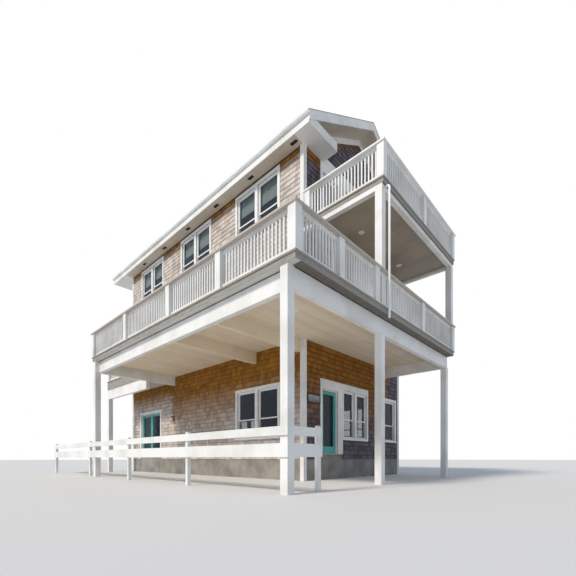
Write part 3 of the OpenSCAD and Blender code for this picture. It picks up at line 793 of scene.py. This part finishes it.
@dataclass
class ShingledWall:
    """Courses of cedar shingles on one outer face, cut round everything that is fixed to it."""

    side: Side
    finish: Finish = CEDAR
    low: float = FIRST_COURSE
    high: float = SITE.soffit
    exposure: float = COURSE
    butt: float = 15.0
    butt_spread: float = 2.5
    drop: float = 5.0
    tip: float = 4.0
    gap: float = 4.0
    off: float = 0.5
    widths: tuple[float, float] = (95.0, 215.0)
    least_share: float = 0.4
    least_height: float = 12.0
    seed: int = 7
    cuts: list[Panel] = field(default_factory=list)
    name: str = ""

    def shelter(self, along: float, z: float) -> float:
        """Returns how far a place is kept from the weather by what hangs over it, which also sets
        its painted warm bounce light.

        Args:
            along: Place along the wall.
            z: Height.

        Returns:
            A share from 0 in the open to 1 right under a deck or a soffit.
        """
        covers = [EAVE_COVER]
        if self.side is Side.LEFT:
            covers.append(DECK_COVER if along < SITE.deck_l else WALKWAY_COVER)
        if self.side is Side.FRONT and along < SITE.deck_w:
            covers += PORCH_COVERS
        return max(cover.share(z) for cover in covers)

    def free_bands(self, z0: float, z1: float) -> list[tuple[float, float, float, float]]:
        """Splits a course into the rectangles that no cut covers.

        Args:
            z0, z1: Bottom and top of the course.

        Returns:
            Start, end, bottom and top of each free rectangle.
        """
        face = WallFace(self.side)
        start, end = face.span
        touching = [c for c in self.cuts if c.low < z1 and c.high > z0]
        breaks = sorted({start, end, *(v for c in touching for v in (c.start, c.end)
                                       if start < v < end)})
        free = []
        for a, b in zip(breaks, breaks[1:]):
            over = [c for c in touching if c.start < b and c.end > a]
            low, high = z0, z1
            for cut in over:
                if cut.low <= low and cut.high >= high:
                    low = high
                elif cut.low <= low:
                    low = max(low, cut.high)
                elif cut.high >= high:
                    high = min(high, cut.low)
            if high - low > self.least_height:
                free.append((a, b, low, high))
        return free

    def lay(self, draft: MeshDraft, band: tuple[float, float, float, float],
            dice: random.Random) -> None:
        """Lays one run of shingles side by side.

        Args:
            draft: The draft that takes them.
            band: Start, end, bottom and top of the run.
            dice: The wall's own random source.
        """
        face = WallFace(self.side)
        start, end, low, high = band
        along = start
        while along < end - 1.0:
            width = min(dice.uniform(*self.widths), end - along)
            if end - along - width < self.widths[0] * self.least_share:
                width = end - along
            a, b = along + self.gap / 2, along + width - self.gap / 2
            butt = self.butt + dice.uniform(-self.butt_spread, self.butt_spread)
            drop = dice.uniform(0.0, self.drop)
            rings = [
                [face.place(u, out, z)
                 for u, out in ((a, self.off), (b, self.off), (b, thick), (a, thick))]
                for z, thick in ((low - drop, butt), (high, self.tip))
            ]
            draft.skin(rings, dice.random(), self.shelter(along, (low + high) / 2))
            along += width

    def build(self) -> bpy.types.Object:
        """Lays every course from the bottom up and returns the piece."""
        draft, dice = MeshDraft(), random.Random(self.seed)
        courses = math.ceil((self.high - self.low) / self.exposure)
        step = (self.high - self.low) / courses
        for i in range(courses):
            z0 = self.low + i * step
            for band in self.free_bands(z0, z0 + step):
                self.lay(draft, band, dice)
        return draft.build(self.name or f"shingles_{self.side.value}", self.finish)


@dataclass
class GableShingles(ShingledWall):
    """Shingles in the triangle above the eaves, cut along the roof behind the frieze boards."""

    low: float = SITE.soffit + COURSE
    high: float = SITE.soffit + 12 * COURSE
    shelter_and_bounce_reach: float = 420.0
    behind_frieze: float = 10.0
    clear: float = 2.0
    least_reach: float = 100.0

    def free_bands(self, z0: float, z1: float) -> list[tuple[float, float, float, float]]:
        """Returns the one run of a course that fits under the slopes and between the returns."""
        reach = (SITE.ridge_z - SITE.rake_h - self.behind_frieze - z1) / SITE.pitch
        reach = min(reach, SITE.ridge_x - SITE.fascia_x - (SITE.return_l + self.clear))
        if reach <= self.least_reach:
            return []
        return [(SITE.ridge_x - reach, SITE.ridge_x + reach, z0, z1)]

    def shelter(self, along: float, z: float) -> float:
        """Returns how close a place lies under the slopes, from 0 well below them to 1, which sets
        the golden wood and its painted warm bounce light there.
        """
        below = SITE.roof_top(along) - SITE.rake_h - z
        return max(0.0, min(1.0, 1.0 - below / self.shelter_and_bounce_reach))


def casing_cuts(side: Side) -> list[Panel]:
    """Returns the parts of a side that casings, doors and head boards cover."""
    edge, apron, threshold = SITE.casing, 70.0, 160.0
    cuts = []
    for pair in side_pairs(side):
        top = pair[0].high + edge
        cuts.append(Panel(pair[0].start - edge, pair[-1].end + edge, pair[0].low - apron, top))
    if side is Side.FRONT:
        # The casing of the door and that of the sashes beside it meet under one head board.
        meet, end, sill_board, head_board = 5600.0, 7340.0, 90.0, 220.0
        for rise in STOREY_RISE:
            head = GROUND_HEAD + rise + head_board
            cuts.append(Panel(DOOR.start - edge, meet, DOOR.low + rise - threshold, head))
            cuts.append(Panel(meet, end, GROUND_SILL + rise - sill_board, head))
    if side is Side.LEFT:
        cuts.append(Panel(SIDE_DOOR.start - edge, SIDE_DOOR.end + edge,
                          SIDE_DOOR.low - threshold, SIDE_DOOR.high + edge))
    return cuts


# Roof.


@dataclass
class RoofCovering:
    """Rows of three-tab shingles on both slopes, and a cap of folded tabs along the ridge."""

    exposure: float = 143.0
    tab: float = 305.0
    slot: float = 6.0
    butt: float = 9.0
    tip: float = 3.0
    butt_spread: float = 1.0
    off: float = 0.3
    overhang: float = 18.0
    front_lip: float = 12.0
    short_of_ridge: float = 60.0
    least_tab: float = 20.0
    seed: int = 21

    def slope_place(self, mirrored: bool, up: float, out: float, y: float) -> Point:
        """Returns a site place on a slope.

        Args:
            mirrored: Whether it is the right slope.
            up: Distance up the slope from the eave edge.
            out: Distance off the roof's surface.
            y: Place along the house.
        """
        length = math.hypot(1.0, SITE.pitch)
        run, rise = 1.0 / length, SITE.pitch / length
        x = SITE.fascia_x + up * run - out * rise
        z = SITE.eave_z + up * rise + out * run
        return (SITE.across(x, mirrored), y, z)

    def slope(self, mirrored: bool) -> bpy.types.Object:
        """Covers one slope and returns the piece."""
        draft, dice = MeshDraft(), random.Random(self.seed + mirrored)
        length = (SITE.ridge_x - SITE.fascia_x) * math.hypot(1.0, SITE.pitch)
        rows = math.ceil((length - self.short_of_ridge) / self.exposure)
        y0, y1 = SITE.roof_front - self.front_lip, SITE.roof_rear
        for row in range(rows):
            low = -self.overhang if row == 0 else row * self.exposure
            high = min((row + 1) * self.exposure, length - self.short_of_ridge)
            edge = y0 - (self.tab / 2 if row % 2 else 0.0)
            while edge < y1:
                a, b = max(edge, y0) + self.slot / 2, min(edge + self.tab, y1) - self.slot / 2
                if b - a > self.least_tab:
                    butt = self.butt + dice.uniform(-self.butt_spread, self.butt_spread)
                    rings = [
                        [self.slope_place(mirrored, up, out, y)
                         for y, out in ((a, self.off), (b, self.off), (b, thick), (a, thick))]
                        for up, thick in ((low, butt), (high, self.tip))
                    ]
                    draft.skin(rings, dice.random())
                edge += self.tab
        side = "right" if mirrored else "left"
        return draft.build(f"roof_shingles_{side}", ROOFING)

    def ridge_tabs(self) -> None:
        """Folds a row of tabs over the ridge in place of the plain cap."""
        draft, dice = MeshDraft(), random.Random(self.seed + 2)
        x, half, off = SITE.ridge_x, self.tab / 2 - 2.5, 0.5
        butt, tip, fold = 18.0, 11.0, 4.0
        count = round((SITE.roof_rear - SITE.roof_front) / self.exposure)
        step = (SITE.roof_rear - SITE.roof_front) / count
        edge = SITE.roof_top(x - half)
        for i in range(count):
            rings = [
                [(x - half, y, edge + off), (x, y, SITE.ridge_z + off), (x + half, y, edge + off),
                 (x + half, y, edge + thick), (x, y, SITE.ridge_z + thick + fold),
                 (x - half, y, edge + thick)]
                for y, thick in ((SITE.roof_front + i * step, butt),
                                 (SITE.roof_front + (i + 1) * step, tip))
            ]
            draft.skin(rings, dice.random())
        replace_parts(draft.build("ridge_tabs", ROOFING), "ridge_cap")

    def build(self) -> None:
        """Covers both slopes and the ridge."""
        for mirrored in (False, True):
            self.slope(mirrored)
        self.ridge_tabs()


# Decks.

# Profiles of turned pieces: a radius and a place along the axis, in millimetres.
LIGHT_RING = ((96.0, 0.0), (96.0, -5.0), (90.0, -9.0), (74.0, -9.0), (66.0, -3.0), (66.0, 0.0))
LIGHT_LENS = ((66.0, 0.0), (66.0, -3.0), (40.0, -5.0), (12.0, -5.6))
LANTERN_ARM = ((9.0, 0.0), (9.0, -100.0))
LANTERN_HOOD = ((12.0, 232.0), (16.0, 226.0), (62.0, 190.0), (70.0, 180.0), (70.0, 172.0),
                (52.0, 172.0), (52.0, 168.0))
LANTERN_FOOT = ((52.0, -8.0), (58.0, -12.0), (40.0, -24.0), (8.0, -30.0))
LANTERN_BAR = ((4.0, -9.0), (4.0, 170.0))
LANTERN_GLASS = ((44.0, -6.0), (46.0, 80.0), (44.0, 166.0))
# Sides round a turned piece, from the widest pieces to the thinnest.
WIDE_SIDES, MID_SIDES, ARM_SIDES, BAR_SIDES = 32, 24, 12, 8


@dataclass
class BoardField:
    """Boards laid side by side over a rectangle, each with its own shade and eased edges."""

    low: Point
    high: Point
    width: float = 140.0
    gap: float = 5.0
    along_y: bool = True
    seed: int = 3
    ease: float = 1.5

    def lay(self, draft: MeshDraft) -> None:
        """Adds the boards to a draft."""
        dice = random.Random(self.seed)
        across = 0 if self.along_y else 1
        start, end = self.low[across], self.high[across]
        count = max(1, round((end - start) / (self.width + self.gap)))
        pitch = (end - start) / count
        for i in range(count):
            low, high = list(self.low), list(self.high)
            low[across] = start + i * pitch + self.gap / 2
            high[across] = start + (i + 1) * pitch - self.gap / 2
            draft.board(tuple(low), tuple(high), self.ease, dice.random())


@dataclass
class DeckDressing:
    """Boards on the decks, boards under them, and the strips that close their outer edges."""

    board_t: float = 6.0
    strip_t: float = 5.0
    inset: float = 4.0
    ease: float = 1.0
    lights: tuple[tuple[float, float], ...] = (
        (1730.0, 1560.0), (4745.0, 1550.0), (7660.0, 1530.0), (1950.0, 9300.0))
    upper_lights: tuple[tuple[float, float], ...] = ((4800.0, 1500.0), (7400.0, 1500.0))

    def decking(self) -> None:
        """Lays the walking boards of the three decks."""
        e, main, upper = self.inset, SITE.main, SITE.upper
        for name, parts in {
            "main_decking": [((e, e), (SITE.left, SITE.deck_l - e), main, 3),
                             ((SITE.left, e), (SITE.deck_w - e, SITE.front), main, 4)],
            "walkway_decking": [
                ((SITE.walkway_x + e, SITE.deck_l), (SITE.left, SITE.rear - e), main, 5)],
            "upper_decking": [
                ((SITE.upper_left + e, e), (SITE.deck_w - e, SITE.front), upper, 6)],
        }.items():
            draft = MeshDraft()
            for low, high, z, seed in parts:
                BoardField((*low, z), (*high, z + self.board_t), seed=seed).lay(draft)
            draft.build(name, DECKING)

    def ceilings(self) -> None:
        """Closes the undersides: long boards below the main deck and wide panels above."""
        t, z, draft = self.board_t, SITE.ceiling, MeshDraft()
        for low, high in (
            ((SITE.beam_left, SITE.beam_front, z - t), (SITE.beam_right, SITE.front, z)),
            ((SITE.beam_left, SITE.front, z - t), (SITE.left, SITE.beam_rear, z)),
        ):
            BoardField(low, high, width=148.0, gap=4.0, along_y=False, seed=9).lay(draft)
        draft.build("main_ceiling_boards", CEILING)
        left, right, front, z, draft = 3571.0, 8649.0, 201.0, SITE.upper_ceiling, MeshDraft()
        BoardField((left, front, z - t), (right, SITE.front, z), width=1010.0, gap=8.0,
                   seed=10).lay(draft)
        draft.build("upper_ceiling_panels", UPPER_CEILING)

    def edge_strips(self) -> None:
        """Closes the decks' undersides between their rims and the beams."""
        t, z = self.strip_t, SITE.deck_under
        clear, lip, upper_lip, upper_w = 2.0, 30.0, 28.0, 30.0
        x, y = SITE.beam_left - SITE.beam_w, SITE.beam_front - SITE.beam_w
        low, upper = SITE.walkway_under, SITE.upper_under
        pale, bare, shadow_beads = MeshDraft(), MeshDraft(), MeshDraft()
        pale.board((lip, lip, z - t), (x - clear, SITE.deck_l - lip, z), self.ease)
        pale.board((SITE.walkway_x + lip, SITE.deck_l, low - t),
                   (SITE.left - clear, SITE.rear - self.inset, low), self.ease)
        # Painted shade: the front strips of the main and upper decks are bare wood made darker than
        # the rim boards, for the shade under the deck edge.
        bare.board((x + clear, lip, z - t), (SITE.deck_w - lip, y - clear, z), self.ease)
        bare.board((SITE.upper_left + upper_lip, upper_lip, upper - t),
                   (SITE.deck_w - upper_lip, upper_lip + upper_w, upper), self.ease)
        # Painted shadow: a dark bead runs along the head of the left beam and of the front beam,
        # outside, where the shade of the deck edge falls.
        x0, x1, y0, y1 = 252.0, SITE.deck_w - 52.0, 452.0, SITE.deck_l - 252.0
        face, back, bead_h = 10.0, 1.0, 22.0
        shadow_beads.board((x - face, y0, z - bead_h), (x - back, y1, z - t), self.ease)
        shadow_beads.board((x0, y - face, z - bead_h), (x1, y - back, z - t), self.ease)
        pale.build("deck_edge_strips", EDGE_BOARD)
        bare.build("bare_edge_strips", SHADED_STRIP_BOARD)
        shadow_beads.build("beam_head_shadow_beads", BRONZE)

    def beam_boxes(self) -> None:
        """Boxes the cross beams of the side deck in with ceiling boards."""
        draft, t, end_gap, wall_gap, head_gap = MeshDraft(), 4.0, 3.0, 16.0, 1.0
        top = SITE.ceiling - self.board_t - head_gap
        for y in SITE.cross_beams:
            draft.board((SITE.beam_left + end_gap, y - t, SITE.beam_low - t),
                        (SITE.left - wall_gap, y + SITE.beam_w + t, top), 2.0)
        draft.build("cross_beam_boxes", CEILING)

    def downlights(self) -> None:
        """Sets small round downlights in the ceilings, as rings with frosted lenses."""
        rings, lenses = MeshDraft(), MeshDraft()
        for spots, ceiling in ((self.lights, SITE.ceiling),
                               (self.upper_lights, SITE.upper_ceiling)):
            for spot in spots:
                centre = (*spot, ceiling - self.board_t)
                rings.turned(centre, LIGHT_RING, WIDE_SIDES)
                lenses.turned(centre, LIGHT_LENS, WIDE_SIDES)
        rings.build("downlight_rings", TRIM, smooth=True)
        lenses.build("downlight_lenses", LENS, smooth=True)

    def build(self) -> None:
        """Dresses every deck."""
        self.decking()
        self.ceilings()
        self.edge_strips()
        self.beam_boxes()
        self.downlights()


@dataclass
class EaveDressing:
    """Boards and vents under both eaves."""

    board_t: float = 6.0
    board_l: float = 1219.0
    joint: float = 1.5
    ease: float = 1.0
    vent_pitch: float = 2030.0
    vent_first: float = 2960.0
    vent_x: float = 3245.0
    vent_half: tuple[float, float] = (55.0, 130.0)
    vent_t: float = 4.0
    slats: int = 5
    slat_pitch: float = 18.0
    slat_w: float = 9.0
    seed: int = 31

    def build(self) -> None:
        """Closes the flat soffits with lengths of board and sets a dark vent in every bay."""
        boards, frames, slats, shadow_beads = MeshDraft(), MeshDraft(), MeshDraft(), MeshDraft()
        dice, z, (w, d) = random.Random(self.seed), SITE.soffit - self.board_t, self.vent_half
        for mirrored in (False, True):
            x0, x1 = sorted(SITE.across(x, mirrored) for x in (SITE.fascia_x + 28.0,
                                                               SITE.left - 20.0))
            y = SITE.front
            while y < SITE.rear - 10.0:
                end = min(y + self.board_l, SITE.rear)
                boards.board((x0, y + self.joint, z), (x1, end - self.joint, SITE.soffit),
                             self.joint, dice.random())
                y = end
            # Painted shadow: a dark bead along the top of each wall, where the shade of the soffit
            # falls.
            x0, x1 = sorted(SITE.across(SITE.left - out, mirrored) for out in (24.0, 16.0))
            shadow_beads.board((x0, SITE.front + SITE.corner_board, SITE.soffit - 36.0),
                        (x1, SITE.rear - SITE.corner_board, SITE.soffit - 7.0), self.ease)
            spot, c, t = self.vent_first, SITE.across(self.vent_x, mirrored), self.vent_t
            while spot < SITE.rear - 400.0:
                frames.board((c - w, spot - d, z - t), (c + w, spot + d, z), self.joint, 0.2)
                for k in range(self.slats):
                    x = c - w + 14.0 + k * self.slat_pitch
                    slats.board((x, spot - d + 12.0, z - 2 * t),
                                (x + self.slat_w, spot + d - 12.0, z - t), self.ease)
                spot += self.vent_pitch
        boards.build("eave_soffit_boards", SOFFIT)
        frames.build("eave_vent_frames", BRONZE)
        slats.build("eave_vent_slats", BRONZE)
        shadow_beads.build("eave_wall_shadow_beads", BRONZE)


# Windows, doors and fittings.


@dataclass
class WindowShades:
    """Roller shades behind the upper sashes of the two upper storeys."""

    depth: float = 128.0
    drop: float = 0.37
    drop_steps: tuple[float, ...] = (-0.05, 0.0, 0.03)
    side_gap: float = 42.0
    top_gap: float = 40.0
    cloth_t: float = 3.0
    bar: tuple[float, float] = (12.0, 22.0)
    bar_set_out: float = 2.0
    seed: int = 41

    def build(self) -> None:
        """Hangs a shade with its bottom bar behind each window above the ground floor."""
        dice, (bar_t, bar_h) = random.Random(self.seed), self.bar
        for side in Side:
            face, cloth = WallFace(side), MeshDraft()
            for panel in (p for pair in side_pairs(side) for p in pair if p.low > SITE.main):
                share = self.drop + dice.choice(self.drop_steps)
                low = panel.high - share * (panel.high - panel.low)
                a, b = panel.start + self.side_gap, panel.end - self.side_gap
                for out, thick, z0, z1 in (
                    (-self.depth, self.cloth_t, low, panel.high - self.top_gap),
                    (-self.depth + self.bar_set_out, bar_t, low - bar_h, low),
                ):
                    cloth.skin([
                        [face.place(u, o, z) for u, o in (
                            (a, out), (b, out), (b, out - thick), (a, out - thick))]
                        for z in (z0, z1)
                    ])
            cloth.build(f"window_shades_{side.value}", SHADE_CLOTH)


@dataclass
class HouseSign:
    """A bare name board on the ground-floor front: grey boards in a dark frame."""

    panel: Panel = Panel(3640.0, 4280.0, 2490.0, 2770.0)
    stand_off: float = 14.0
    rows: int = 3
    rail: float = 30.0
    stile: float = 28.0
    joint: float = 1.5
    board_t: float = 20.0
    frame_t: float = 32.0

    def build(self) -> None:
        """Builds the boards and their butted frame."""
        face, p, off, boards, rim = (
            WallFace(Side.FRONT), self.panel, self.stand_off, MeshDraft(), MeshDraft())
        low, high = p.low + self.rail, p.high - self.rail
        left, right = p.start + self.stile, p.end - self.stile
        step = (high - low) / self.rows
        for i in range(self.rows):
            z = low + i * step
            face.board(boards, (left, off + self.board_t, z + self.joint),
                       (right, off, z + step - self.joint), 2.0, i / 2)
        for a, b, z0, z1 in ((p.start, p.end, p.low, low), (p.start, p.end, high, p.high),
                             (p.start, left, low, high), (right, p.end, low, high)):
            face.board(rim, (a, off + self.frame_t, z0), (b, off, z1), 3.0)
        boards.build("name_board", SIGN_BOARD)
        rim.build("name_board_frame", SIGN_FRAME)


@dataclass
class WallLantern:
    """A slim outdoor lantern on an arm, on the left wall beside the side doors."""

    y: float = 10620.0
    z: float = 2420.0
    out: float = 120.0
    plate: tuple[float, float] = (90.0, 240.0)
    plate_back: float = 14.0
    plate_face: float = 26.0
    arm_out: float = 20.0
    arm_z: float = 200.0
    bars: int = 4
    bar_radius: float = 50.0

    def build(self) -> None:
        """Builds the back plate, arm, cage and lens."""
        metal, lens, half = MeshDraft(), MeshDraft(), self.plate[0] / 2
        WallFace(Side.LEFT).board(
            metal, (self.y - half, self.plate_face, self.z),
            (self.y + half, self.plate_back, self.z + self.plate[1]), 3.0)
        metal.turned((SITE.left - self.arm_out, self.y, self.z + self.arm_z), LANTERN_ARM,
                     ARM_SIDES, axis=0)
        centre = (SITE.left - self.out, self.y, self.z)
        for profile in (LANTERN_HOOD, LANTERN_FOOT):
            metal.turned(centre, profile, MID_SIDES)
        for turn in range(self.bars):
            a = math.pi / 4 + turn * math.pi / 2
            metal.turned((centre[0] + self.bar_radius * math.cos(a),
                          centre[1] + self.bar_radius * math.sin(a), self.z),
                         LANTERN_BAR, BAR_SIDES)
        lens.turned(centre, LANTERN_GLASS, MID_SIDES)
        metal.build("wall_lantern", BRONZE, smooth=True)
        lens.build("wall_lantern_lens", LENS, smooth=True)


class Dresser:
    """Gives every CAD node that stays in sight its procedural finish."""

    groups: dict[Finish, str] = {
        CONCRETE: "foundation ground_floor",
        FLOOR_WOOD: "main_floor upper_floor",
        BACKING: "left_wall_ground left_wall_pier left_wall_over_doors left_wall_high right_wall "
                 "front_wall_pier front_wall_ground front_wall_over_door front_wall_high "
                 "rear_wall gable_walls",
        ROOFING: "roof_left roof_right ridge_cap",
        SOFFIT: "rake_soffits",
        ENAMEL: "gutters downspout",
        VINYL: "left_windows right_windows front_windows rear_windows",
        GLASS: "window_glass front_door_glass side_door_near_glass side_door_far_glass",
        TEAL: "front_door side_door_near side_door_far",
        CEILING: "main_ceiling",
        RIM_BOARD: "main_deck walkway_deck upper_deck",
        MAIN_RAIL: "main_rail_left main_rail_front main_rail_ends walkway_rails",
    }

    def dress(self, nodes: dict[str, bpy.types.Object]) -> None:
        """Assigns each node its finish, and white trim paint to the rest.

        Args:
            nodes: The CAD nodes by name.
        """
        finishes = {name: finish for finish, names in self.groups.items()
                    for name in names.split()}
        for name, node in nodes.items():
            made = finishes.get(name, TRIM).material()
            if not node.material_slots:
                node.data.materials.append(made)
            for slot in node.material_slots:
                slot.material = made


# Studio.


@dataclass
class Studio:
    """Camera, lights, pale floor and white background."""

    eye: Point = (-10.1475, -12.5775, 0.72)
    heading_deg: float = -47.2
    lens_mm: float = 22.125
    shift: tuple[float, float] = (-0.0017, 0.2951)
    sensor_mm: float = 36.0
    sight_m: float = 500.0
    key_strength: float = 2.6
    key: str = "#fff6ea"
    key_angle_deg: float = 12.0
    key_toward: Point = (1.0, -0.12, -0.9)
    fill: str = "#b2c1d6"
    fill_strength: float = 0.75
    floor_colour: str = "#dedddb"
    floor_half_m: float = 150.0

    def camera(self) -> None:
        """Sets the camera at the photograph's place, level, with its lens shifted up."""
        data = bpy.data.cameras.new("viewpoint")
        data.sensor_width = self.sensor_mm
        data.lens = self.lens_mm
        data.shift_x, data.shift_y = self.shift
        data.clip_end = self.sight_m
        made = add_object("viewpoint", data)
        made.location = self.eye
        made.rotation_euler = (math.radians(90.0), 0.0, math.radians(self.heading_deg))
        bpy.context.scene.camera = made

    def lights(self) -> None:
        """Sets one broad key from the left and an even, slightly cool fill all round."""
        data = bpy.data.lights.new("key", "SUN")
        data.energy = self.key_strength
        data.angle = math.radians(self.key_angle_deg)
        data.color = linear(self.key)[:3]
        made = add_object("key", data)
        toward = Vector(self.key_toward).normalized()
        made.rotation_euler = toward.to_track_quat("-Z", "Y").to_euler()

        world = bpy.data.worlds.new("even_fill")
        bpy.context.scene.world = world
        world.use_nodes = True
        tree = world.node_tree
        tree.nodes.clear()
        path = add_node(tree, "LightPath", out=None).outputs
        seen = path["Is Camera Ray"]
        for ray in ("Is Glossy Ray", "Is Transmission Ray"):
            seen = add_node(tree, "Math", {"operation": "MAXIMUM", 0: seen, 1: path[ray]})
        fill, white = (add_node(tree, "Background", {"Color": linear(code), "Strength": strength})
                       for code, strength in ((self.fill, self.fill_strength), ("#ffffff", 1.0)))
        mixed = add_node(tree, "MixShader", {0: seen, 1: fill, 2: white})
        add_node(tree, "OutputWorld", {"Surface": mixed}, None)

    def floor(self) -> None:
        """Lays a wide, plain pale floor at the level of the lowest footing."""
        mesh = bpy.data.meshes.new("studio_floor")
        r = self.floor_half_m
        mesh.from_pydata([(x, y, -MM) for x, y in ((-r, -r), (r, -r), (r, r), (-r, r))],
                         [], [(0, 1, 2, 3)])
        made = add_object("studio_floor", mesh)
        paint = bpy.data.materials.new("pale_floor")
        paint.use_nodes = True
        shader = paint.node_tree.nodes["Principled BSDF"]
        shader.inputs["Base Color"].default_value = linear(self.floor_colour)
        shader.inputs["Roughness"].default_value = 0.9
        mesh.materials.append(paint)

    def build(self) -> None:
        """Sets up the whole studio."""
        bpy.context.scene.view_settings.view_transform = "Standard"
        self.camera()
        self.lights()
        self.floor()


def write_sizes() -> None:
    """Brings the view layer up to date."""
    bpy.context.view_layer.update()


def main() -> None:
    """Builds every sub-assembly in order."""
    logging.basicConfig(level=logging.INFO, format="%(name)s: %(message)s")
    Studio().build()
    Dresser().dress(frame["nodes"])
    # The front wall and the front gable take the cedar with painted shade.
    for i, side in enumerate(Side):
        wood = SHADED_CEDAR if side is Side.FRONT else CEDAR
        ShingledWall(side, wood, cuts=casing_cuts(side), seed=50 + i).build()
    GableShingles(Side.FRONT, SHADED_CEDAR, seed=60, name="shingles_front_gable").build()
    GableShingles(Side.REAR, seed=61, name="shingles_rear_gable").build()
    RoofCovering().build()
    DeckDressing().build()
    EaveDressing().build()
    WindowShades().build()
    HouseSign().build()
    WallLantern().build()
    write_sizes()


if __name__ == "__main__":
    main()
